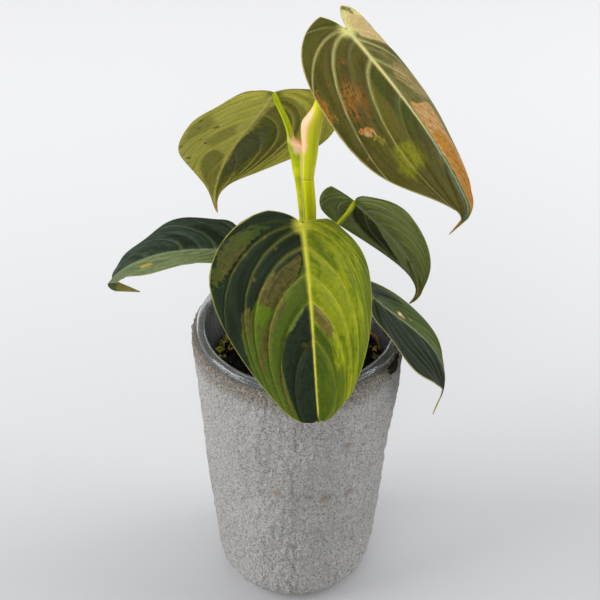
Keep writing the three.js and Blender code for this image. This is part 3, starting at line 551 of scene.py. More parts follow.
class Leaf:
    """One blade's grid: its bent middle surface, and for each point where it lies on the blade."""

    def __init__(self, name):
        self.name = name
        self.blade = BLADES[name]
        rows = blade_rows()
        rib = midrib(self.blade)
        parts = []
        self.ids = []
        shared = {}
        count = 0
        for half in (0, 1):
            row, across = np.meshgrid(rows, crowded(COLUMNS, 0.12), indexing="ij")
            along = along_row(self.blade, half, row, across)
            fields = self.fields(half, row, along, across, rib)
            ids = np.zeros(row.shape, dtype=int)
            fresh = []
            for i, j in np.ndindex(row.shape):
                key = (i, j, half)
                if j == 0:
                    key = "joint" if along[i, 0] <= BLADE["basal"] else i
                if key not in shared:
                    shared[key] = count
                    fresh.append((i, j))
                    count += 1
                ids[i, j] = shared[key]
            i, j = np.array(fresh).T
            parts.append({key: values[i, j] for key, values in fields.items()})
            self.ids.append(ids)
        self.keep = {key: np.concatenate([part[key] for part in parts]) for key in parts[0]}
        self.points = self.keep["point"]
        self.rib_gap = np.hypot(self.keep["flat"][:, 1], np.minimum(self.keep["flat"][:, 0], 0))

    def fields(self, half, row, along, across, rib):
        """What is known at each point of a half: where it lies, and how near it is to edge and veins."""
        u, v = flat_point(self.blade, half, along, across)
        between = np.abs(np.sin(math.pi * BANDS * row))
        quilt = BLADE["quilt"] * between * np.sin(math.pi * np.minimum(across * BLADE["quilt_reach"], 1))
        size, cycles, phase = self.blade["wave"]
        wave = size * np.sin(2 * math.pi * cycles * along + phase + 1.7 * half) * across ** 3
        grid = bent_point(self.blade, rib, half, u, v, clamp((1 - along) * 6) * (quilt + wave))
        flat = np.stack([u, mirrored(half, v)], -1)
        edge = nearest(flat, np.vstack([flat[0, ::3], flat[::2, -1], flat[-1, ::-6]]))
        vein = np.full(row.shape, 9.0)
        which = np.zeros(row.shape)
        for k in range(1, BANDS):
            gap = nearest(flat, flat[k * BAND_ROWS, ::3]) / (0.25 + 0.75 * (1 - across) ** 0.8)
            which = np.where(gap < vein, k, which)
            vein = np.minimum(vein, gap)
        band = np.where(row > 1, BANDS + (row - 1), row * BANDS)
        return dict(point=grid, flat=flat, half=np.full(row.shape, half), band=band, across=across, edge=edge,
                    vein=vein, which=which)

    def faces(self):
        found = []
        for half, grid in enumerate(self.ids):
            corners = (grid[:-1, :-1], grid[1:, :-1], grid[1:, 1:], grid[:-1, 1:])
            for p, s, r, q in zip(*(corner.ravel().tolist() for corner in corners)):
                face = (p, s, r, q) if p != s else (p, r, q)
                found.append(face if half == 0 else face[::-1])
        return found

    def border(self):
        left, right = self.ids
        return np.concatenate([left[0, :], left[1:, -1], left[-1, -2::-1],
                               right[-1, 1:], right[-2::-1, -1], right[0, -2:0:-1]]).tolist()

    def normals(self, faces):
        normals = np.zeros((len(self.points), 3))
        for face in faces:
            p, q, r = self.points[list(face[:3])]
            normal = np.cross(q - p, r - p)
            if len(face) == 4:
                normal = normal + np.cross(r - p, self.points[face[3]] - p)
            for corner in face:
                normals[corner] += normal
        return unit(normals)

    def build(self, materials, attributes):
        """The solid blade: an upper and a lower skin, with grooves and ribs along its veins and midrib."""
        faces = self.faces()
        count = len(self.points)
        normals = self.normals(faces)
        up_way = rib_frame(self.blade, midrib(self.blade), np.array([5.0]))[2][0]
        if np.sum(normals.mean(0) * up_way) < 0:
            normals = -normals
            faces = [face[::-1] for face in faces]
        edge, vein, rib = self.keep["edge"], self.keep["vein"], self.rib_gap
        rib_size = 1.15 - 0.85 * clamp(self.keep["flat"][:, 0] / self.blade["length"], 0, 1.2)
        half = 0.13 + 0.14 * clamp(edge / 1.6)
        fade = clamp(edge / 2)
        upper = half - fade * (0.22 * bell(vein / 0.5) + 0.3 * rib_size * bell(rib / 0.7))
        lower = half + fade * (0.28 * bell(vein / 0.5) + 0.85 * rib_size * bell(rib / 0.75))
        points = np.vstack([self.points + normals * upper[:, None], self.points - normals * lower[:, None]])
        made = faces + [tuple(corner + count for corner in face[::-1]) for face in faces]
        border = self.border()
        first = {side for face in faces for side in zip(face, face[1:] + face[:1])}
        for p, q in zip(border, border[1:] + border[:1]):
            if p != q:
                made.append((q, p, p + count, q + count) if (p, q) in first else (p, q, q + count, p + count))
        kinds = [0] * len(faces) + [1] * len(faces) + [0] * (len(made) - 2 * len(faces))
        both = {key: np.concatenate([values, values]) for key, values in attributes.items()}
        return make_object(f"leaf_{self.name}", points, made, materials, kinds, both)

    def flat_place(self, half, band, across):
        """Where (band, across) lies in the flat blade. Bands past the last are the drip tip."""
        row = np.where(band <= BANDS, band / BANDS, 1 + (band - BANDS))
        u, v = flat_point(self.blade, half, along_row(self.blade, half, row, across), across)
        return np.stack([u, mirrored(half, v)], -1)

    def area(self, half, *corners):
        """How far inside a patch each point lies, in mm. Corners are (band, across)."""
        ring = np.array([*corners, corners[0]], dtype=float)
        t = np.arange(6)[:, None] / 6
        ring = np.vstack([lerp(a, b, t) for a, b in zip(ring[:-1], ring[1:])] + [ring[-1:]])
        line = self.flat_place(half, ring[:, 0], ring[:, 1])
        x, y = self.keep["flat"].T
        inside = np.zeros(len(x), dtype=bool)
        for a, b in zip(line[:-1], line[1:]):
            if a[1] != b[1]:
                inside ^= ((a[1] > y) != (b[1] > y)) & (x < a[0] + (b[0] - a[0]) * (y - a[1]) / (b[1] - a[1]))
        gap = nearest(self.keep["flat"], line)
        return np.where(self.keep["half"] == half, np.where(inside, gap, -gap), -20.0)

    def spot(self, half, band, across, radius):
        middle = self.flat_place(half, np.array(float(band)), np.array(float(across)))
        return radius - np.linalg.norm(self.keep["flat"] - middle, axis=1)


def drip_tip(left, right, dip=0):
    """The two areas that cover a blade's drip tip, from these bands on and dip further on at the edge."""
    return [(half, (band, -0.1), (band + dip, 1.2), (9.2, 1.2), (9.2, -0.1))
            for half, band in (("L", left), ("R", right))]


# How each blade is painted. Halves are "L" and "R", seen from above along the midrib, each with two mottled
# tones, and power is how bright its seven side veins are. A patch is a tone, a second tone mottled into it,
# its share, how soft and how ragged its edge is in mm, and its shapes: areas (half, corners as (band,
# across)) and spots (half, band, across, radius in mm).
PAINT = {
    "top_right": dict(
        seen="upper", left=("olive_grey", "olive"), right=("olive", "olive_dark"),
        rib=("cream_rib", "sage"), vein="vein_cream", margin="straw", margin_share=0.6, heart="heart_cream",
        power=((0.4, 0.6, 0.6, 0.7, 0.5, 0.2, 0.1), (0.25, 0.75, 0.85, 0.15, 0.7, 0.15, 0.1)),
        patches=[
            ("moss", "olive", 0.55, 3, 3, [("R", (0, 0.2), (0, 1.1), (1.6, 1.1), (1.6, 0.75), (1, 0.3))]),
            ("cream", "cream_buff", 0.95, 0.8, 0.6, [("L", (0, 0.03), (-0.2, 1.1), (1.9, 1.1), (1.8, 0.5),
             (1.3, 0.03))]),
            ("cream_buff", "peach", 0.9, 0.8, 1.4, [("L", (1.2, 0.03), (1.5, 1.1), (2.9, 1.1), (3.1, 0.75),
             (3.5, 0.45), (3.7, 0.1))]),
            ("moss", "olive", 0.8, 0.8, 1, [("L", 1, 0.76, 2), ("L", 0.2, 0.88, 2.4),
             ("L", 1.9, 0.93, 1.5)]),
            ("olive", "olive_dark", 0.75, 1, 1.5, [("L", (3.75, 0.06), (3.6, 0.5), (2.95, 0.9), (3.5, 0.9),
             (3.95, 0.55), (4.2, 0.1))]),
            ("olive_dark", "olive", 0.5, 1, 1.5, [("L", (4.5, 0.07), (4.6, 0.24), (4.5, 0.4),
             (5.1, 0.05))]),
            ("peach", "tan", 0.5, 0.8, 2.4, [("L", (4.5, 0.3), (5.4, 0.1), (5.6, 0.3), (5.2, 0.7),
             (4.4, 0.8))]),
            ("leaf_green", "olive_grey", 0.6, 1, 1.2, [("L", (5.3, 0.62), (5.8, 0.5), (6, 0.62), (6.5, 1.1),
             (5, 1.1))]),
            ("peach", "rust", 0.95, 0.35, 0.5, [("L", (6.1, 0.05), (5.86, 0.27), (5.5, 0.52), (5.9, 0.66),
             (6.3, 0.78), (6.7, 1.1), (8, 1.1), (7.8, 0.5), (7.7, 0.2), (7.3, 0.1), (6.9, 0.04),
             (6.5, 0.03))]),
            ("orange", "amber", 0.95, 2.2, 1.4, [("L", (6.6, 0.1), (6.35, 0.4), (6.5, 0.7), (7, 1.1),
             (8, 1.1), (7.9, 0.5), (7.6, 0.2), (7.1, 0.14))]),
            ("grey_green", "slate", 0.8, 0.8, 1, [("L", (6.3, 0), (6.9, 0.03), (7.3, 0.1), (7.7, 0.2),
             (7.95, 0.5), (8, 1.1), (8.3, 1.1), (8.3, 0)), ("R", (6.6, 0), (7, 0.16), (8, 0.7), (8.2, 1.1),
             (8.3, 0))]),
            ("green_deep", "olive_dark", 0.6, 3, 2, [("R", (4.9, 0.02), (5.2, 0.3), (6.3, 0.4),
             (6.5, 0.04))]),
            ("gold_dark", "brown", 0.7, 2, 2, [("R", (5.1, 0.2), (5.8, 0.3), (5.6, 0.5), (5.1, 0.58),
             (5, 0.4))]),
            ("rust_dark", "umber", 0.55, 1.2, 4, [("R", (3.1, 0.72), (3.2, 0.5), (3.6, 0.38), (4.6, 0.34),
             (4.7, 0.46), (4, 0.62), (3.5, 0.7))]),
            ("rust", "umber", 0.9, 0.4, 6, [("R", (3.1, 0.59), (3.5, 0.47), (3.8, 0.41), (4, 0.41),
             (4.4, 0.38), (4.45, 0.43), (4.2, 0.48), (3.7, 0.56), (3.4, 0.61), (3, 0.66)), ("R", (3, 0.67),
             (3.4, 0.58), (3.6, 0.58), (3.6, 0.62), (3.5, 0.66), (3.2, 0.72), (2.9, 0.74)),
             ("R", 3.6, 0.34, 1.9), ("R", 2.62, 0.7, 1.3), ("R", 5.6, 0.54, 1.5)]),
            ("rust_dark", "rust", 0.7, 0.5, 4, [("R", (2, 1.05), (2.1, 0.92), (2.3, 0.88), (2.35, 0.94),
             (2.2, 1.05)), ("R", 2.75, 0.97, 0.6), ("R", 2.5, 0.88, 0.6)]),
            ("peach", "rust", 0.95, 0.5, 1.2, [("R", (3.5, 0.68), (3.7, 0.65), (4.2, 0.59), (4, 0.63),
             (3.5, 0.72), (3.3, 0.76), (3.05, 0.78))]),
            ("gold_green", "gold_dark", 0.85, 2.5, 3.5, [("R", (4, 0.72), (5.2, 0.58), (6.1, 0.42),
             (6.3, 0.5), (5.4, 0.72), (3.8, 0.86), (3.5, 0.86))]),
            ("yellow", "gold", 1, 0.4, 0.9, [("R", 3.7, 0.68, 1.3), ("R", 4, 0.655, 1.2),
             ("R", 3.6, 0.72, 1.1), ("R", 5.95, 0.57, 0.8), ("R", 6.2, 0.54, 0.7), ("R", 5.88, 0.63, 0.8),
             ("R", 2.5, 0.9, 0.8)]),
            ("yellow", "gold", 0.9, 0.3, 4, [("R", 3.75, 0.7, 0.9), ("R", 4, 0.665, 0.7),
             ("R", 4.2, 0.64, 0.3), ("R", 2.45, 0.9, 0.4), ("R", 2.8, 0.87, 0.2), ("R", 5.9, 0.58, 0.1),
             ("R", 6.25, 0.53, 0.1), ("R", 6.6, 0.42, -0.2)]),
            ("rust", "rust_dark", 0.8, 0.3, 4, [("R", 4.4, 0.46, 1), ("R", 4.95, 0.5, 0.1),
             ("R", 3.2, 0.8, 0.1), ("R", 3, 0.9, 0.3), ("R", 4.1, 0.52, 1)]),
            ("olive_dark", "olive", 0.6, 2, 2, [("R", (5.6, 0.66), (6.4, 0.55), (7, 0.6), (6.6, 0.8),
             (4.8, 0.84), (4.2, 0.92), (4.6, 0.8))]),
            ("amber", "orange", 0.95, 0.6, 0.4, drip_tip(8.14, 8.14)),
        ],
    ),
    "top_left": dict(
        # Painted light: this blade's ground tones are lighter than its own colour, for its underside, which
        # faces down into shade.
        seen="lower", left=("under_lime", "under_yellow"), right=("under_olive", "under_lime"),
        rib=("straw", "straw"), vein="under_yellow", margin="peach", margin_share=0.5, heart="leaf_green",
        power=((0.5, 0.5, 0.5, 0.5, 0.45, 0.4, 0.3), (0.4, 0.4, 0.6, 0.7, 0.25, 0.2, 0.1)),
        patches=[
            ("under_dark", "under_olive", 0.55, 3, 2, [("L", (2.6, 0.78), (4.2, 0.5), (4.6, 0.6),
             (3.6, 0.96), (2.8, 0.95)), ("L", (5.2, 0.2), (5.3, 0.6), (5.9, 0.5), (6, 0.1))]),
            ("under_brown", "under_dark", 0.6, 2, 1.5, [("L", (6.1, 0.62), (6.2, 0.4), (6.9, 0.1),
             (8, 0.02), (8, 0.85), (7.2, 0.9), (6.4, 0.85))]),
            ("under_brown", "under_dark", 0.8, 1.5, 2, [("R", (3.6, 0.1), (3.4, 0.7), (4.2, 1.1),
             (6.4, 1.1), (7.6, 0.6), (7.9, 0.3), (7, 0.05), (5, 0.05))]),
            ("under_dark", "moss", 0.85, 1, 1, [("R", (5.1, 0.08), (5.15, 0.55), (5.6, 0.6), (5.7, 0.3),
             (5.7, 0.1))]),
            ("under_lens", "under_grey", 0.95, 0.6, 0.5, [("R", (6.6, 0.02), (5.8, 0.1), (5.65, 0.25),
             (5.8, 0.45), (6.3, 0.56), (7, 0.56), (7.5, 0.35), (7.4, 0.12))]),
            ("under_yellow", "straw", 0.8, 0.6, 1.2, [("R", 6.4, 0.42, 1), ("R", 6.6, 0.5, 1.1)]),
            ("under_olive", "under_lime", 0.5, 1.5, 1, [("R", (6.6, 0.66), (7.3, 0.62), (8, 0.2), (8, 1.1),
             (6.4, 1.1))]),
            ("moss", "under_dark", 0.75, 1, 1.5, [("R", (7.2, 0.03), (7.3, 0.2), (8, 0.9), (8, 0.02))]),
            ("leaf_green", "under_dark", 0.6, 2, 2, [("R", (0, 0.1), (0, 1.1), (1.6, 1.1), (1.2, 0.5),
             (0.6, 0.1))]),
            ("under_dark", "umber", 0.8, 0.5, 1.2, [("L", 3.6, 0.76, 1.4), ("L", 3, 0.82, 1.3),
             ("L", 4.7, 0.48, 1.6), ("L", 3.2, 0.92, 0.9), ("L", 4, 0.96, 0.9), ("L", 5, 0.66, 1.2),
             ("L", 5.5, 0.59, 1), ("L", 5.4, 0.91, 1.3), ("L", 5.6, 0.96, 1.1)]),
            ("amber", "peach", 0.9, 1, 0.5, drip_tip(7.9, 7.9)),
        ],
    ),
    "mid_right": dict(
        seen="lower", left=("under_green", "sage"), right=("under_green", "under_grey"),
        rib=("sage", "sage"), vein="sage", margin="sage", margin_share=0.5, heart="leaf_green",
        power=((0.5, 0.6, 0.5, 0.4, 0.7, 0.6, 0.4), (0.5, 0.65, 0.65, 0.65, 0.5, 0.5, 0.4)),
        patches=[
            ("under_black", "under_grey", 0.25, 2, 2, [("L", (1.2, 0.5), (1.6, 0.1), (2.9, 0.1), (2.7, 0.6),
             (1.8, 0.85))]),
            ("under_black", "deep", 0.9, 1.2, 0.8, [("L", (3, 0.12), (3.7, 0.04), (4.7, 0.12), (4.9, 0.5),
             (4.5, 0.85), (3.4, 0.88), (2.9, 0.7))]),
            ("moss", "under_green", 0.6, 2, 1.5, [("R", (-0.1, 0.7), (-0.1, 1.1), (7, 1.1), (7, 0.8),
             (3, 0.8)), ("L", (-0.1, 0.75), (-0.1, 1.1), (7, 1.1), (7, 0.85), (3, 0.9), (1, 0.85))]),
            ("umber_dark", "brown", 0.7, 2, 1.5, [("L", (6.6, 0.1), (6, 0.6), (6, 1.1), (8, 1.1),
             (8, 0.05)), ("R", (7.4, 0.1), (7, 1.1), (8, 1.1), (8, 0.05))]),
            ("amber", "brown", 0.8, 2, 1, drip_tip(7.4, 7.5, 0.1)),
        ],
    ),
    "mid_left": dict(
        seen="upper", left=("sage", "grey_green"), right=("blue_green", "deep_blue"),
        rib=("sage", "grey_green"), vein="grey_green", margin="sage", margin_share=0.4, heart="grey_green",
        power=((0.3, 0.3, 0.3, 0.3, 0.3, 0.3, 0.3), (0.2, 0.3, 0.3, 0.7, 0.2, 0.7, 0.3)),
        patches=[
            ("deep", "ink", 0.7, 2, 1.5, [("R", (3.2, 0.2), (3.3, 0.7), (3.9, 0.7), (3.9, 0.1)), ("R",
             (5.2, 0.1), (5.2, 0.6), (5.9, 0.6), (5.9, 0.1))]),
            ("sage", "leaf_green", 0.5, 2, 1.5, [("L", (0.4, 0.3), (1, 1.1), (4.2, 1.1), (4, 0.4),
             (2.6, 0.2))]),
            ("slate", "grey_green", 0.7, 2, 1.5, [("L", (4.4, 0.5), (4.6, 1.1), (8, 1.1), (7.6, 0.4),
             (6, 0.4))]),
            ("amber", "yellow", 0.95, 0.5, 1, [("L", (4.5, 0.68), (5.3, 0.56), (6, 0.5), (6.1, 0.56),
             (5.2, 0.7), (4.7, 0.76))]),
            ("yellow", "straw", 1, 0.6, 0.5, drip_tip(8, 8)),
        ],
    ),
    "front": dict(
        seen="upper", left=("lime_mid", "lime_light"), right=("deep", "deep_blue"),
        rib=("bright_rib", "under_lime"), vein="bright_rib", margin="under_lime", margin_share=0.4,
        heart="bright_rib",
        power=((0.4, 0.6, 0.65, 0.65, 0.55, 0.4, 0.25), (0.06, 0.13, 0.16, 0.2, 0.2, 0.12, 0.05)),
        patches=[
            ("leaf_green", "moss", 0.6, 3, 3, [("L", (-0.2, 0.6), (-0.2, 1.1), (5, 1.1), (3.4, 0.85),
             (1.6, 0.8))]),
            ("brown", "moss", 0.6, 0.8, 5, [("R", (1, 0.7), (1.1, 0.95), (1.6, 0.98), (1.9, 0.75),
             (2, 0.55), (1.7, 0.5), (1.3, 0.6))]),
            ("moss", "green_deep", 0.6, 1, 3, [("R", (1.1, 0.55), (1.3, 0.75), (1.7, 0.7), (1.8, 0.5),
             (1.4, 0.42))]),
            ("brown", "umber", 0.8, 0.8, 1.8, [("R", (1.8, 0.48), (1.95, 0.58), (1.75, 0.7), (1.85, 0.8),
             (1.6, 0.86), (1.6, 0.7)), ("R", 3.2, 0.51, 1.6), ("R", 3.3, 0.26, 1), ("R", 2.1, 0.38, 1)]),
            ("moss", "leaf_green", 0.95, 0.6, 0.6, [("R", (2.7, 0.82), (3.6, 0.66), (4, 0.5), (5, 0.3),
             (5.3, 0.1), (5.8, 0.05), (6.1, 0.1), (6.2, 0.25), (6, 0.4), (6, 0.55), (6.3, 0.68),
             (6.6, 0.85), (6.75, 1.1), (2.7, 1.1))]),
            ("leaf_green", "moss", 0.85, 1, 0.8, [("R", (4.6, 0.03), (5, 0.1), (5.05, 0.3), (5.6, 0.34),
             (5.8, 0.2), (6.05, 0.05), (6, 0))]),
            ("umber", "brown", 0.95, 0.5, 0.5, [("R", (4.2, 0.05), (4.1, 0.2), (4.1, 0.33), (4, 0.38),
             (3.95, 0.5), (4.2, 0.54), (4.7, 0.44), (5, 0.38), (5.05, 0.25), (4.9, 0.1), (4.5, 0.05))]),
            ("deep", "deep_blue", 0.9, 0.5, 0.7, [("R", (4, 0.05), (4, 0.3), (4.25, 0.3), (4.3, 0.15),
             (4.2, 0.04))]),
            ("grass", "leaf_green", 0.95, 0.5, 1.3, [("R", (4.05, 0.54), (4.7, 0.43), (4.95, 0.44),
             (4.6, 0.58), (4.05, 0.64))]),
            ("umber", "brown", 0.85, 0.6, 1.4, [("R", (5.15, 0.25), (5, 0.4), (4.8, 0.55), (4.3, 0.75),
             (3.7, 0.86), (4, 0.9), (4.6, 0.77), (5.1, 0.62), (5.3, 0.45), (5.4, 0.25)),
             ("R", 4.3, 0.63, 1.9)]),
            ("brown", "umber", 0.9, 0.5, 0.7, [("R", (3.05, 0.68), (3.6, 0.61), (3.65, 0.72), (3, 0.84),
             (2.75, 0.76))]),
            ("deep", "deep_blue", 0.98, 0.35, 0.5, [("R", (6.05, 0.03), (6.2, 0.15), (6.2, 0.26), (6, 0.36),
             (6, 0.56), (6.3, 0.68), (6.5, 0.75), (6.7, 0.88), (6.8, 1.1), (8.4, 1.1), (8.4, -0.1))]),
            ("brown", "umber", 0.85, 0.5, 0.9, [("R", (6.03, 0.57), (5.8, 0.72), (5.95, 0.88), (6.35, 0.95),
             (6.45, 0.88), (6.3, 0.74), (6.1, 0.62)), ("R", 6.9, 0.16, 1.4)]),
            ("yellow_green", "lime_light", 0.7, 2, 2, [("L", (4.2, 0.15), (4.2, 0.6), (5, 0.65), (6.1, 0.4),
             (6, 0.1))]),
            ("lime_deep", "green_deep", 0.85, 1.5, 1.2, [("L", (6.6, 0.03), (6.6, 0.3), (6.8, 0.6),
             (8.2, 1.1), (8.3, 1.1), (8.3, 0))]),
            ("leaf_green", "lime_deep", 0.7, 2, 1.5, [("L", (6.2, 0.6), (6.8, 0.55), (8, 0.7), (8.2, 1.1),
             (5.6, 1.1))]),
            ("brown", "tan", 0.95, 0.4, 0.4, [("L", (6.02, 0.03), (6.02, 0.12), (5.97, 0.28), (6.12, 0.34),
             (6.45, 0.3), (6.55, 0.2), (6.5, 0.1), (6.4, 0.03)), ("L", 4, 0.38, 1)]),
        ],
    ),
    "low_right": dict(
        seen="upper", left=("moss", "green_deep"), right=("deep_blue", "deep"), rib=("sage", "grey_green"),
        vein="grey_green", margin="straw", margin_share=0.7, heart="moss",
        power=((0.3, 0.35, 0.4, 0.4, 0.4, 0.3, 0.3), (0.5, 0.55, 0.55, 0.55, 0.5, 0.4, 0.3)),
        patches=[
            ("deep", "deep_blue", 0.85, 1, 1.2, [("L", (2.1, 0.3), (2.2, 0.84), (3.1, 0.7), (3.4, 0.2))]),
            ("moss", "leaf_green", 0.6, 2, 1.5, [("L", (5.2, 0.2), (5, 0.8), (8, 1.1), (8, 0.1))]),
            ("rust", "amber", 0.95, 0.4, 0.9, [("L", 5, 0.17, 3), ("L", 5.3, 0.26, 1.6)]),
            ("white", "pale_peach", 1, 0.35, 0.7, [("L", 5, 0.17, 2.1)]),
            ("straw", "yellow", 0.95, 1, 0.5, drip_tip(7.95, 7.95)),
        ],
    ),
}

def leaf_material(name, paint, seen):
    """A blade's skin: two mottled tones a half, ragged patches, side veins, midrib and margin."""
    g = Graph(name)
    on_leaf = g.attribute("leaf_place", "Vector")
    where = g.object_place()
    vein_gap, rib, reach = (g.attribute(key) for key in ("vein", "rib", "reach"))
    streak = g.noise(g.stretch(on_leaf, (1.1, 0.06, 1)), 1)
    blotch = g.noise(g.stretch(on_leaf, (0.2, 0.09, 1)), 1, 3)
    fleck = g.noise(where, 420, 4, 0.65)
    grain = g.noise(where, 1500, 3, 0.65)
    ragged = g.math("SUBTRACT", g.add(streak, 0.45, g.times(fleck, 0.55)), 0.5)
    mottle = g.add(streak, 0.5, g.times(fleck, 0.5))
    ground = g.ramp(g.add(blotch, 0.6, g.times(mottle, 0.4)), 0.4, 0.6)
    color = g.mix(g.ramp(g.attribute("half"), 0.45, 0.55), g.mix(ground, *paint["left"]),
                  g.mix(ground, *paint["right"]))
    for k, (shade, other, share, soft, rag, _) in enumerate(paint["patches"]):
        field = g.add(ragged, 5 * rag, g.attribute(f"patch_{k}"))
        inside = g.ramp(field, -0.5 * soft, 0.5 * soft, 0, share)
        color = g.mix(inside, color, g.mix(g.ramp(mottle, 0.4, 0.6), shade, other))
    glow = g.times(g.ramp(vein_gap, 2, 0.3), g.ramp(reach, 0, 0.6, 0.55, 0.12))
    vein = g.times(g.most(g.ramp(vein_gap, 0.55, 0.15, 0, 0.8), glow), g.attribute("power"))
    vein = g.times(vein, g.ramp(streak, 0.2, 0.7, 0.75, 1))
    # Painted shade: darker away from the veins, in the middle of each quilted band.
    color = g.mix(g.ramp(vein_gap, 0.9, 3.4, 0, 0.35), color, g.mix(1, color, "quilt_shade", "MULTIPLY"))
    color = g.mix(vein, color, paint["vein"])
    heart = g.add(ragged, 5, g.attribute("heart"))
    color = g.mix(g.ramp(heart, 6.5, 1, 0, 0.75), color, paint["heart"])
    rib_soft = g.times(g.ramp(rib, 2.2, 0.8, 0, 0.45), g.ramp(reach, 0.1, 0.6, 1, 0.3))
    rib_share = g.times(g.most(g.ramp(rib, 1, 0.5, 0, 0.95), rib_soft), g.ramp(reach, 1, 0.94))
    color = g.mix(rib_share, color, g.mix(g.ramp(reach, 0.25, 0.8), *paint["rib"]))
    color = g.mix(g.ramp(g.attribute("edge"), 0.5, 0.2, 0, paint["margin_share"]), color, paint["margin"])
    if not seen:
        shift = "under_green" if paint["seen"] == "upper" else "leaf_green"
        color = g.mix(g.ramp(reach, 1, 0.93, 0, 0.45), color, shift)
    dark = g.mix(1, color, "leaf_grain", "MULTIPLY")
    color = g.mix(g.ramp(grain, 0.35, 0.65, 0, 0.5), color, dark)
    color = g.mix(g.ramp(streak, 0.45, 0.75, 0, 0.3), color, dark)
    normal = g.bump(g.ramp(vein_gap, 0, 3.2), 0.0009, 0.7)
    normal = g.bump(g.add(streak, 0.7, g.times(fleck, 0.5)), 0.00035, 0.7, normal)
    normal = g.bump(grain, 0.00006, 0.5, normal)
    return g.done(color, normal, g.ramp(streak, 0.2, 0.8, 0.48, 0.62), 0.09)


def make_leaf(name):
    leaf = Leaf(name)
    paint = PAINT[name]
    keep = leaf.keep
    halves = {"L": 0, "R": 1}
    flat, half = keep["flat"], keep["half"]
    reach = flat[:, 0] / leaf.blade["length"]
    power = np.array([(0, *row) for row in paint["power"]])
    attributes = dict(
        half=half, edge=keep["edge"], vein=keep["vein"], reach=reach,
        power=power[half, keep["which"].astype(int)],
        heart=np.hypot(flat[:, 0], flat[:, 1]),
        rib=leaf.rib_gap / (1.1 - 0.75 * clamp(reach, 0, 1.1)),
        leaf_place=np.stack([keep["band"] * 11, keep["across"] * 40, half * 31 + 7.0], 1),
    )
    for k, (*_, shapes) in enumerate(paint["patches"]):
        fields = []
        for letter, *shape in shapes:
            draw = leaf.area if isinstance(shape[0], tuple) else leaf.spot
            fields.append(draw(halves[letter], *shape))
        attributes[f"patch_{k}"] = np.max(fields, axis=0)
    skins = [leaf_material(f"{name}_{side}", paint, paint["seen"] == side) for side in ("upper", "lower")]
    place(leaf.build(skins, attributes), f"blade_{name}")


# Stem and petioles
def catmull(points, count):
    """Points along a smooth curve through the given ones (centripetal), evenly spaced."""
    p = np.array(points, dtype=float)
    p = np.vstack([2 * p[0] - p[1], p, 2 * p[-1] - p[-2]])
    out = []
    for i in range(1, len(p) - 2):
        knots = [0.0]
        for k in range(3):
            knots.append(knots[-1] + max(np.linalg.norm(p[i + k] - p[i + k - 1]) ** 0.5, 1e-4))
        for t in np.linspace(knots[1], knots[2], 40, endpoint=i == len(p) - 3):
            a = [((knots[k + 1] - t) * p[i - 1 + k] + (t - knots[k]) * p[i + k]) / (knots[k + 1] - knots[k])
                 for k in range(3)]
            b = [((knots[k + 2] - t) * a[k] + (t - knots[k]) * a[k + 1]) / (knots[k + 2] - knots[k])
                 for k in range(2)]
            out.append(((knots[2] - t) * b[0] + (t - knots[1]) * b[1]) / (knots[2] - knots[1]))
    return resample(np.array(out), count)


def resample(line, count):
    """The same line with its points evenly spaced."""
    gaps = np.linalg.norm(np.diff(line, axis=0), axis=1)
    at = np.concatenate([[0], np.cumsum(gaps)])
    places = np.linspace(0, at[-1], count)
    return np.stack([np.interp(places, at, line[:, k]) for k in range(line.shape[1])], 1)


def cubic(a, b, c, d, count):
    t = np.linspace(0, 1, 200)[:, None]
    line = a * (1 - t) ** 3 + 3 * b * t * (1 - t) ** 2 + 3 * c * t * t * (1 - t) + d * t ** 3
    return resample(line, count)


def carried_frames(line, across):
    """At each point of a line, two directions square to it that don't spin."""
    frames = []
    for direction in unit(np.gradient(line, axis=0)):
        across = unit(across - direction * np.dot(across, direction))
        frames.append((np.cross(across, direction), across))
    return frames


def section(middle, outer, across, radius, turns):
    """Points round a middle: towards outer at turn 0, towards across at a quarter turn."""
    radius = np.broadcast_to(radius, turns.shape)[:, None]
    return middle + outer * radius * np.cos(turns)[:, None] + across * radius * np.sin(turns)[:, None]


def capped_loft(name, rings, materials, attributes=None):
    """A closed skin over rings of equal length."""
    rings = np.array(rings)
    rows, count = rings.shape[:2]
    points = np.vstack([rings.reshape(-1, 3), rings[0].mean(0), rings[-1].mean(0)])
    faces = closed_faces(rows, count)
    made = {}
    for key, values in (attributes or {}).items():
        flat = np.asarray(values).reshape(-1)
        made[key] = np.concatenate([flat, [flat[:count].mean(), flat[-count:].mean()]])
    volume = 0.0
    for face in faces:
        a, b, c = points[list(face[:3])]
        volume += np.dot(a, np.cross(b, c))
        if len(face) == 4:
            volume += np.dot(a, np.cross(c, points[face[3]]))
    if volume < 0:
        faces = [face[::-1] for face in faces]
    return make_object(name, points, faces, materials, attributes=made)


def stem_axis_x(z):
    return np.interp(z, AXIS_HEIGHTS, AXIS_X)


def stem_radius(z):
    if z > STEM_TOP:
        return lerp(3.2, 4.4, clamp((z - STEM_TOP) / 24))
    radius = lerp(4.7, 3.4, clamp((z - SOIL["hole_z"]) / 110))
    radius = lerp(radius, 3, clamp((z - 240) / 18))
    return radius + sum(0.22 * bell((z - height) / 1.6) for height in NODE_HEIGHTS)


def stem_material():
    g = Graph("stem_skin")
    where = g.object_place()
    height = g.part(where, 2)
    fibre = g.noise(g.stretch(where, (900, 900, 60)), 1)
    color = g.mix(g.ramp(height, 0.19, 0.212), "stem_green", "stem_yellow")
    color = g.mix(g.ramp(height, 0.231, 0.233), color, "stem_lime")
    color = g.mix(g.ramp(g.noise(where, 120, 3), 0.5, 0.75, 0, 0.35), color, "stem_green")
    color = g.mix(g.ramp(fibre, 0.5, 0.8, 0, 0.2), color, "grass")
    color = g.mix(g.ramp(g.attribute("ring"), 0.5, 0.95, 0, 0.5), color, "gold")
    return g.done(color, g.bump(fibre, 0.0002, 0.5), 0.42, 0.15)


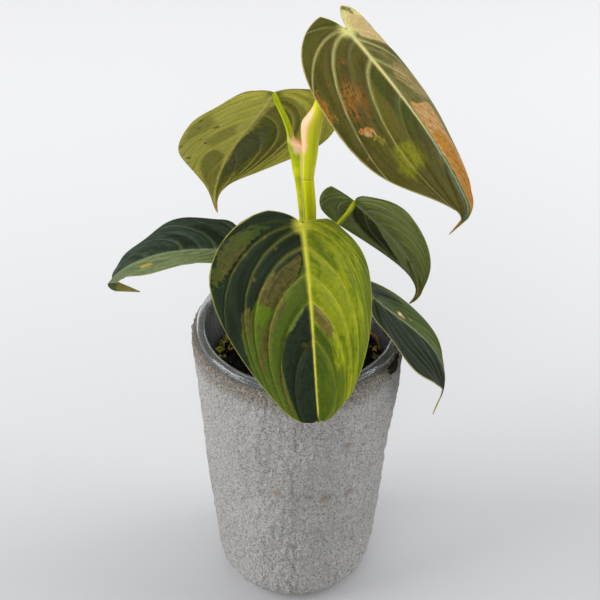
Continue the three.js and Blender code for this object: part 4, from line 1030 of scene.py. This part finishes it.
def make_stem():
    line = catmull(STEM_LINE, 150)
    turns = full_turn(40)
    rings, marks = [], []
    for middle, frame_at in zip(line, carried_frames(line, np.array([0.0, 1.0, 0.0]))):
        z = middle[2]
        ring_mark = max(bell((z - height) / 0.8) for height in NODE_HEIGHTS)
        radius = stem_radius(z) - 0.05 + 0.07 * np.sin(7 * turns + z / 9) + 0.12 * ring_mark
        rings.append(section(middle, *frame_at, radius, turns))
        marks.append(np.full(len(turns), ring_mark))
    place(capped_loft("vine_stem", rings, [stem_material()], dict(ring=marks)), "stem")


def petiole_material(name, body, lit, margin):
    g = Graph(name)
    where = g.object_place()
    fibre = g.noise(g.stretch(where, (700, 700, 45)), 1)
    blotch = g.noise(where, 90, 3)
    color = g.mix(g.ramp(blotch, 0.35, 0.65), body, lit)
    color = g.mix(g.ramp(g.attribute("free"), 0.1, 0.9, 0, 0.85), color, "stalk_green")
    color = g.mix(g.ramp(fibre, 0.5, 0.8, 0, 0.25), color, "leaf_green")
    color = g.mix(g.ramp(g.attribute("wing"), 0.74, 0.9, 0, 0.8), color, margin)
    color = g.mix(g.ramp(g.sway(blotch, 1.8, g.attribute("blush")), 0.2, 0.9, 0, 0.95), color, "blush")
    return g.done(color, g.bump(fibre, 0.00015, 0.5), 0.42, 0.15)


def petiole_end(blade):
    """Where a petiole ends under its blade, and the blade's up there."""
    point, _, up = rib_frame(blade, midrib(blade), np.array([0.0]))
    return point[0] - up[0] * BLADE_CLEARANCE, up[0]


def level_axes(degrees):
    """Outwards from the stem at an azimuth, and level and square to that."""
    turn = math.radians(degrees)
    return np.array([math.cos(turn), math.sin(turn), 0]), np.array([-math.sin(turn), math.cos(turn), 0])


def sheath_ring(spec, z, roundness):
    """A ring of a clasping sheath, its outside and then its inside, made a round stalk by roundness."""
    outwards, sidewards = level_axes(spec["azimuth"])
    end = clamp((z - spec["base_z"]) / (spec["sheath_z"] - spec["base_z"]))
    axis = np.array([stem_axis_x(z), 0, z])
    inner = stem_radius(z) + spec["gap"]
    edge = inner + spec["lip"]
    radius = spec["radius"][0]
    thick = spec["thick"] * (0.35 + 0.65 * clamp(end * 4))
    reach = inner + thick + (2 * radius - spec["thick"] + spec["bulge"]) * end ** 2.5
    centre = axis + outwards * (reach - radius)
    side = np.linspace(-1, 1, ARC)
    t = np.concatenate([side, -side])
    outside = np.arange(2 * ARC) < ARC
    width = np.maximum(np.cos(t * math.pi / 2), 0)
    distance = np.where(outside, edge + (reach - edge) * width ** spec["hug"], inner)
    angle = t * math.radians(spec["spread"]) * (1 - spec["narrowing"] * end)
    clasp = section(axis, outwards, sidewards, distance, angle)
    turns = np.where(outside, t * SIDE_TURN, math.pi - t * SIDE_TURN)
    stalk = section(centre, outwards, sidewards, radius, turns)
    return lerp(clasp, stalk, roundness), np.where(outside, abs(t) * (1 - roundness), 0), centre


def make_petiole(name, colors):
    """A sheath that clasps the stem, then a grooved stalk that runs free to its blade."""
    spec = PETIOLE | PETIOLES[name]
    thick_r, thin_r = spec["radius"]
    base_z, sheath_z = spec["base_z"], spec["sheath_z"]
    steps = max(9, round((sheath_z - base_z) / 1.6))
    heights = [(lerp(base_z, sheath_z, i / steps), 0.0) for i in range(steps + 1)]
    heights += [(sheath_z + lift, math.sin(lift / 3 * math.pi / 2)) for lift in (0.6, 1.2, 1.8, 2.4, 3)]
    rings, wings = [], []
    for z, roundness in heights:
        ring, wing, centre = sheath_ring(spec, z, roundness)
        rings.append(ring)
        wings.append(wing)
    end, up = petiole_end(BLADES[name])
    away = end - centre
    reach = np.linalg.norm(away)
    line = cubic(centre, centre + np.array([0, 0, reach * spec["rise"]]) + away * 0.08,
                 end - up * reach * 0.33, end, max(16, round(reach / 1.8)))
    length = np.linalg.norm(np.diff(line, axis=0), axis=1).sum()
    frames = carried_frames(line, level_axes(spec["azimuth"])[1])
    # The inner side runs the other way here than in the sheath, so the skin crosses itself inside the stalk.
    side = np.linspace(-1, 1, ARC) * SIDE_TURN
    turns = np.concatenate([side, math.pi - side])
    groove = 1 - 0.12 * bell((turns - math.pi) / 0.5)
    for i in range(1, len(line)):
        t = i / (len(line) - 1)
        radius = lerp(thick_r, thin_r, t) + 0.3 * bell(((1 - t) * length - 3) / 2.5)
        rings.append(section(line[i], *frames[i], radius * groove, turns))
        wings.append(np.zeros(2 * ARC))
    rings = np.array(rings)
    free = np.repeat(clamp((np.arange(len(rings)) - steps) / 8)[:, None], 2 * ARC, 1)
    blush = bell((rings[:, :1, 2] - sheath_z) / 6) * clamp((rings[:, :, 0] + 8) / 5) * (name == "top_left")
    piece = capped_loft(f"stalk_{name}", rings, [petiole_material(f"stalk_{name}_skin", *colors)],
                        dict(wing=wings, blush=blush, free=free))
    place(piece, f"petiole_{name}")


def make_top_petiole(colors):
    """The terminal petiole: a rolled sheath with a blushed bulge, then a stalk up to its blade."""
    turns = full_turn(36)
    rings, wings = [], []
    for z, x, half_width, half_depth in catmull(TOP_SHEATH, 60):
        from_seam = (turns - 4 + math.pi) % (2 * math.pi) - math.pi
        overlap = 0.35 * bell(from_seam / 0.25) * clamp((300 - z) / 10)
        wide, deep = (half_width + overlap) * np.cos(turns), (half_depth + overlap) * np.sin(turns)
        rings.append(np.stack([x + wide, deep, np.full(len(turns), z)], 1))
        wings.append(overlap * 2.6)
    z, x, half_width, _ = TOP_SHEATH[-1]
    start = np.array([x, 0, z])
    end, up = petiole_end(BLADES["top_right"])
    line = cubic(start, start + np.array([2.5, 0, 9]), end - up * np.linalg.norm(end - start) * 0.3, end, 26)
    frames = carried_frames(line, np.array([0.0, 1.0, 0.0]))
    for i in range(1, len(line)):
        radius = lerp(half_width, 1.6, math.sqrt(i / (len(line) - 1)))
        rings.append(section(line[i], *frames[i], radius, turns))
        wings.append(np.zeros(len(turns)))
    rings = np.array(rings)
    middle = rings.mean(1, keepdims=True)
    band = clamp((middle[..., 2] - 270) / 8) * clamp((300 - middle[..., 2]) / 8)
    blush = 1.25 * band * clamp((middle[..., 0] - 0.6 - rings[..., 0]) / 2.2)
    piece = capped_loft("stalk_top_right", rings, [petiole_material("stalk_top_right_skin", *colors)],
                        dict(wing=wings, blush=blush, free=np.zeros(blush.shape)))
    place(piece, "petiole_top_right")


def make_root():
    line = catmull(ROOT_POINTS, 90)
    rings = []
    for i, (middle, frame_at) in enumerate(zip(line, carried_frames(line, np.array([0.0, 0.0, 1.0])))):
        taper = 1 - 0.35 * i / (len(line) - 1)
        knots = 1 + 0.12 * math.sin(i / 2.3) + 0.08 * math.sin(i / 0.9)
        rings.append(section(middle, *frame_at, ROOT_RADIUS * taper * knots, full_turn(14)))
    g = Graph("root_skin")
    blotch = g.noise(g.object_place(), 350)
    color = g.mix(g.ramp(blotch, 0.35, 0.65), "rust", "brown")
    skin = g.done(color, g.bump(blotch, 0.0003, 0.6), 0.6, 0.3)
    place(capped_loft("root_strand", rings, [skin]), "surface_root")


# The planter
def planter_radius(z):
    share = np.maximum(z / PLANTER["height"], 0) ** PLANTER["flare"]
    straight = PLANTER["foot"] + (PLANTER["rim"] - PLANTER["foot"]) * share
    below = np.maximum(1 - z / PLANTER["foot_round"], 0)
    return straight - PLANTER["foot_round"] * (1 - np.sqrt(1 - below * below))


def planter_profile():
    """From the middle of the foot, over the rim, to the floor: (radius, height, share of the relief)."""
    rim, top, floor = PLANTER["rim"], PLANTER["height"], PLANTER["floor"]
    inside = rim - PLANTER["wall"]
    outer_z = np.concatenate([np.linspace(0, 13, 16), np.linspace(13.9, 162, 166)])
    inner = ((floor, 30, 120, 164), (27.5, PLANTER["foot"] - PLANTER["wall"], inside - 1, inside))
    return [
        *((r, 0, 0) for r in (6, 16, 24)), *((planter_radius(z), z, 1) for z in outer_z),
        (rim - 0.1, top - 1.8, 1), (rim - 0.4, top - 0.9, 1), (rim - 1, top - 0.25, 0.6),
        (rim - 1.7, top, 0.3), (rim - 3, top, 0.2), (inside + 0.8, top, 0.2), (inside, top - 1, 0.2),
        *((np.interp(z, *inner), z, 0) for z in np.linspace(160, 12, 22)),
        (29, floor + 1, 0), (26, floor, 0), (6, floor, 0),
    ]


def planter_roughness(turn, z):
    """The cast surface: upright streaks, lumps, fine grain and pits. turn is the share of a round."""
    lump = value_noise(turn * 60, z / 6, 12, 60) * 0.6 + value_noise(turn * 120, z / 3, 13, 120) * 0.4
    rough = (0.34 * value_noise(turn * 150, z / 16, 11, 150) + 0.28 * lump
             + 0.5 * value_noise(turn * 200, z / 2.2, 14, 200))
    dice = random.Random(7)
    for _ in range(PITS["count"]):
        pit_turn, pit_z = dice.random(), dice.uniform(*PITS["heights"])
        size, depth = dice.uniform(*PITS["sizes"]), dice.uniform(*PITS["depths"])
        gap = ((turn - pit_turn + 0.5) % 1 - 0.5) * 2 * math.pi * 50
        rough -= depth * np.exp(-((gap / size) ** 2 + ((z - pit_z) / (size * 1.2)) ** 2))
    return rough


def cement_material():
    g = Graph("cement")
    where = g.object_place()
    cloud = g.noise(where, 28)
    streaks = g.noise(g.stretch(where, (800, 800, 190)), 1, 4, 0.65)
    sand = g.noise(where, 1000, 4, 0.75)
    color = g.mix(g.ramp(cloud, 0.35, 0.65), "cement", "cement_light")
    # Painted shade in the pores: darker where the sand noise, which also raises the bump, is low.
    color = g.mix(g.ramp(sand, 0.36, 0.5, 0.85, 0), color, "cement_pore_shade")
    color = g.mix(g.ramp(streaks, 0.5, 0.68, 0, 0.55), color, "cement_streak")
    color = g.mix(g.ramp(sand, 0.5, 0.62, 0, 0.85), color, "cement_sand")
    color = g.mix(g.ramp(g.cells(where, 420), 0.16, 0.05, 0, 0.4), color, "cement_speck")
    band = g.ramp(g.sway(cloud, 0.012, g.part(where, 2)), 0.150, 0.161, 0, 0.95)
    color = g.mix(g.times(band, g.ramp(sand, 0.62, 0.42)), color, "rim_dirt")
    color = g.mix(g.times(band, 0.35), color, "rim_tint")
    color = g.mix(g.ramp(g.sway(sand, 3, g.attribute("stain")), 0.4, 1, 0, 0.42), color, "rust_stain")
    color = g.mix(g.ramp(g.attribute("broken"), 0.45, 0.8), color, "broken_edge")
    return g.done(color, g.bump(g.add(streaks, 0.5, sand), 0.0045, 1), 0.9, 0.25)


def make_planter():
    floor, top = PLANTER["floor"], PLANTER["height"]
    a, radius, z, outside = around(planter_profile(), 420)
    turn = a / (2 * math.pi)
    high = clamp((z - 8) / 30) * clamp((top - z) / 12)
    uneven = high * (0.35 * np.sin(5 * a + z / 17) + 0.3 * np.sin(9 * a - z / 11) + 0.25 * np.sin(z / 9))
    degrees = np.degrees(np.where(a > math.pi, a - 2 * math.pi, a))
    chip = bell((degrees - BREAK["at"]) / BREAK["reach"]) * clamp((z - BREAK["from_z"]) / BREAK["full_after"])
    bite = clamp((chip + 0.25 * value_noise(turn * 120, z / 1.6, 5, 120) - 0.45) / 0.2)
    relief = uneven + planter_roughness(turn, z) * clamp(z / 4) - 0.9 * chip - 0.7 * bite
    lowered = np.where(z > top - 3, 0.8 * chip + 0.9 * bite * (outside > 0), 0)
    points = round_points(radius + outside * relief, a, z - lowered).reshape(-1, 3)
    points = np.vstack([points, [[0, 0, 0], [0, 0, floor]]])
    stain = np.zeros(z.shape)
    for at, stain_z, size in STAINS:
        gap = np.radians((degrees - at + 180) % 360 - 180) * 48
        stain = np.maximum(stain, 1.4 - np.sqrt((gap / size) ** 2 + ((z - stain_z) / (size * 0.8)) ** 2))
    attributes = dict(broken=np.append((outside * (chip * 0.6 + bite)).ravel(), [0, 0]),
                      stain=np.append(stain.ravel(), [-1, -1]))
    piece = make_object("planter_shell", points, closed_faces(*z.shape), [cement_material()],
                        attributes=attributes)
    place(piece, "planter")


# The cup and what fills it
def cup_inner(z):
    share = (z - CUP["floor_z"]) / (PLANTER["height"] - CUP["floor_z"])
    return lerp(CUP["floor_r"], CUP["neck_r"], share) - CUP["wall"]


def cup_profile():
    """Under the floor, up the outside, over the rolled lip and down the inside, as (radius, height)."""
    floor_r, floor_z, wall = CUP["floor_r"], CUP["floor_z"], CUP["wall"]
    neck, lip = CUP["neck_r"], CUP["lip_r"]
    rim = PLANTER["height"]
    seat = rim + GAP
    top = seat + CUP["lip_height"]
    return [
        (2, floor_z), (20, floor_z), (floor_r - 1, floor_z), (floor_r - 0.3, floor_z + 0.3),
        (floor_r, floor_z + 1),
        *((cup_inner(z) + wall, z) for z in np.linspace(82, 160, 14)),
        (neck, rim), (neck, top - 2), (neck + 0.2, top - 1.5), (neck + 0.7, top - 1.3),
        (lip - wall - 0.6, top - 1.3), (lip - wall, top - 1.8), (lip - wall, seat + 0.1),
        (lip - wall + 0.2, seat), (lip - 0.15, seat), (lip, seat + 0.2), (lip, top - 1.6),
        (lip - 0.25, top - 0.85), (lip - 0.8, top - 0.3),
        (lip - 1.7, top), (neck + 0.6, top), (neck - 0.2, top - 0.25), (neck - 0.7, top - 0.9),
        (neck - wall, top - 1.9), *((cup_inner(z), z) for z in np.linspace(rim, 80, 14)),
        (floor_r - wall, floor_z + 1.4), (20, floor_z + 1.1), (2, floor_z + 1.1),
    ]


def make_cup():
    sides = 160
    a, radius, z = around(cup_profile(), sides)
    wobble = clamp((z - 150) / 10) * 0.12 * np.sin(3 * a + 1) + 0.05 * np.sin(11 * a)
    points = round_points(radius + wobble, a, z).reshape(-1, 3)
    rows = len(z)
    last = (rows - 1) * sides
    faces = ring_faces(rows, sides)
    faces += [(last + j, last + (j + 1) % sides, (j + 1) % sides, j) for j in range(sides)]
    g = Graph("clear_plastic")
    haze = g.noise(g.object_place(), 260, 3)
    color = g.mix(g.ramp(haze, 0.35, 0.7), "plastic", "plastic_haze")
    skin = g.done(color, g.bump(haze, 0.0002, 0.3), 0.07, 0.6, transmission=0.94, ior=1.46)
    place(make_object("cup_shell", points, faces, [skin]), "nursery_cup")


def soil_radius(z):
    return cup_inner(z) - SOIL_GAP


def soil_top(x, y):
    share = np.hypot(x, y) / cup_inner(SOIL["edge_z"])
    return (lerp(SOIL["middle_z"], SOIL["edge_z"], share * share)
            + 0.9 * np.sin(x / 4.1 + 1) * np.cos(y / 3.7) + 0.6 * np.sin((x + y) / 2.3))


def make_soil():
    bottom = CUP["floor_z"] + 1.4 + GAP
    edge_z, hole_r, hole_z = SOIL["edge_z"], SOIL["hole_r"], SOIL["hole_z"]
    edge = soil_radius(edge_z)
    angle = full_turn(200)
    walls = [(0.5, bottom), (20, bottom), (soil_radius(bottom), bottom)]
    walls += [(soil_radius(z), z) for z in np.linspace(90, edge_z - 4, 8)]
    rings = [round_points(r, angle, z) for r, z in walls]
    for share in np.linspace(1, hole_r / edge, 46):
        x, y, _ = round_points(edge * share, angle, 0).T
        grit = 0.9 * value_noise(x / 2.6 + 90, y / 2.6 + 90, 21)
        grit += 0.5 * value_noise(x / 1.1 + 90, y / 1.1 + 90, 22)
        z = soil_top(x, y) + grit * min(1, (1 - share) * 12 + 0.3)
        rings.append(np.stack([x, y, z], 1))
    rings += [round_points(hole_r, angle, z) for z in (140, hole_z)]
    points = np.vstack([*rings, [[0, 0, bottom], [0, 0, hole_z]]])
    g = Graph("potting_mix")
    clump = g.noise(g.object_place(), 380, 5, 0.65)
    color = g.mix(g.ramp(clump, 0.4, 0.7), "mix_dark", "mix_light")
    skin = g.done(color, g.bump(clump, 0.0012, 0.9), 0.95, 0.2)
    piece = make_object("soil_bed", points, closed_faces(len(rings), len(angle)), [skin])
    place(piece, "substrate")


def lump_mesh(dice, spots, sizes):
    """Small uneven lumps at the given (x, y, lift) spots: points, faces and one random value a lump."""
    rows, count = 5, 8
    down, round_turn = np.meshgrid(math.pi * (np.arange(rows) + 0.5) / rows, full_turn(count), indexing="ij")
    ball = np.stack([np.sin(down) * np.cos(round_turn), np.sin(down) * np.sin(round_turn), np.cos(down)], -1)
    ball = np.copysign(np.abs(ball) ** 0.7, ball).reshape(-1, 3)
    points, faces, values = [], [], []
    for x, y, lift in spots:
        size = np.array([dice.uniform(*pair) for pair in sizes]) / 2
        turns = dice.uniform(-0.6, 0.6), dice.uniform(-0.6, 0.6), dice.uniform(0, 2 * math.pi)
        value = dice.random()
        knock = np.array([1 + dice.uniform(-0.22, 0.22) for _ in ball])
        lump = ball * size * knock[:, None]
        for turn, (a, b) in zip(turns, ((1, 2), (2, 0), (0, 1))):
            lump[:, b], lump[:, a] = swing(lump[:, b], lump[:, a], turn)
        start = len(values)
        points.append(lump + [x, y, soil_top(x, y) + 0.3 * size[2] + lift])
        values += [value] * len(ball)
        faces += ring_faces(rows, count, start)
        faces.append(tuple(start + j for j in range(count))[::-1])
        faces.append(tuple(start + (rows - 1) * count + j for j in range(count)))
    return np.vstack(points), faces, values


def make_lumps(name, dice, spots, sizes, material):
    points, faces, shade = lump_mesh(dice, spots, sizes)
    piece = make_object(name, points, faces, [material], attributes=dict(shade=shade))
    place_loose(piece)


def make_chips():
    dice = random.Random(19)
    edge = soil_radius(SOIL["edge_z"])
    spots = []
    for _ in range(CHIPS["count"]):
        turn = dice.random() * 2 * math.pi
        reach = lerp(8.5, edge - 2.5, math.sqrt(dice.random()))
        spots.append((reach * math.cos(turn), reach * math.sin(turn), CHIPS["lift"]))
    g = Graph("bark_chips")
    grain = g.noise(g.stretch(g.object_place(), (300, 900, 500)), 1)
    color = g.mix(g.ramp(g.attribute("shade"), 0.8, 0.97), "mix_dark", "bark_light")
    color = g.mix(g.ramp(grain, 0.4, 0.7, 0, 0.5), color, "bark_grain")
    make_lumps("bark", dice, spots, CHIPS["sizes"], g.done(color, g.bump(grain, 0.0004, 0.8), 0.85, 0.2))


def make_moss():
    """Yellow-green moss in small tufts on the mix, most of it at the left."""
    dice = random.Random(31)
    spots = []
    for x, y, reach, count in MOSS_TUFTS:
        for _ in range(count):
            turn, out = dice.random() * 2 * math.pi, reach * math.sqrt(dice.random())
            spots.append((x + out * math.cos(turn), y + out * math.sin(turn), dice.uniform(0.4, 2.2)))
    g = Graph("moss_tuft")
    grain = g.noise(g.object_place(), 1500, 3)
    color = g.mix(g.attribute("shade"), "moss_dark", "moss_light")
    color = g.mix(g.ramp(grain, 0.4, 0.7, 0, 0.6), color, "moss_grain")
    make_lumps("moss", dice, spots, MOSS_SIZES, g.done(color, g.bump(grain, 0.0004, 0.7), 0.85, 0.2))


# The room: camera, floor and lights
def make_camera():
    """The photograph's own view, worked out from the pot's rim and sides."""
    elevation = math.radians(VIEW["elevation"])
    back = np.array([0, -math.cos(elevation), math.sin(elevation)])
    spot = np.array([0, 0, VIEW["aim_z"]]) + back * VIEW["distance"]
    right, forward = np.array([1.0, 0, 0]), -back
    up = np.cross(right, forward)
    off_x, off_y = (math.atan2(pixel - VIEW["pixels"] / 2, VIEW["focal"]) for pixel in VIEW["aim_pixel"])
    right, forward = swing(right, forward, off_x)
    forward, up = swing(forward, up, off_y)
    right, up = swing(right, up, math.radians(VIEW["roll"]))
    data = bpy.data.cameras.new("camera")
    data.lens = VIEW["focal"] / VIEW["pixels"] * data.sensor_width
    data.clip_start, data.clip_end = 0.05, 20
    camera = bpy.data.objects.new("camera", data)
    matrix = np.eye(4)
    matrix[:3] = np.stack([right, up, -forward, spot * MM], 1)
    bpy.context.scene.collection.objects.link(camera)
    camera.matrix_world = Matrix(matrix.tolist())
    bpy.context.scene.camera = camera


def area_light(name, spot, aim, size, power):
    data = bpy.data.lights.new(name, "AREA")
    data.shape = "RECTANGLE"
    data.size, data.size_y = size
    data.energy = power
    light = bpy.data.objects.new(name, data)
    light.location = Vector(spot)
    light.rotation_euler = (Vector(aim) - Vector(spot)).to_track_quat("-Z", "Y").to_euler()
    bpy.context.scene.collection.objects.link(light)


def make_room():
    scene = bpy.context.scene
    scene.view_settings.view_transform = "Standard"
    reach = FLOOR_REACH / MM
    corners = np.array([(-reach, -reach, 0), (reach, -reach, 0), (reach, reach, 0), (-reach, reach, 0)])
    g = Graph("floor_paper")
    # Painted shade: the floor is darker towards the front and lighter towards the back.
    color = g.mix(g.ramp(g.part(g.object_place(), 1), -0.4, 0.8), "floor_shade_near", "floor_far")
    floor = make_object("floor", corners, [(0, 1, 2, 3)], [g.done(color, None, 0.9, 0.1)], smooth=False)
    world = bpy.data.worlds.new("room")
    world.use_nodes = True
    background = world.node_tree.nodes["Background"]
    background.inputs["Color"].default_value = (1, 1, 1, 1)
    background.inputs["Strength"].default_value = WORLD_STRENGTH
    scene.world = world
    for name, light in LIGHTS.items():
        area_light(name, *light)


make_camera()
make_room()
make_planter()
make_cup()
make_soil()
make_chips()
make_moss()
make_stem()
make_root()
make_top_petiole(TOP_COLORS)
for petiole_name in PETIOLES:
    make_petiole(petiole_name, SIDE_COLORS)
for leaf_name in BLADES:
    make_leaf(leaf_name)
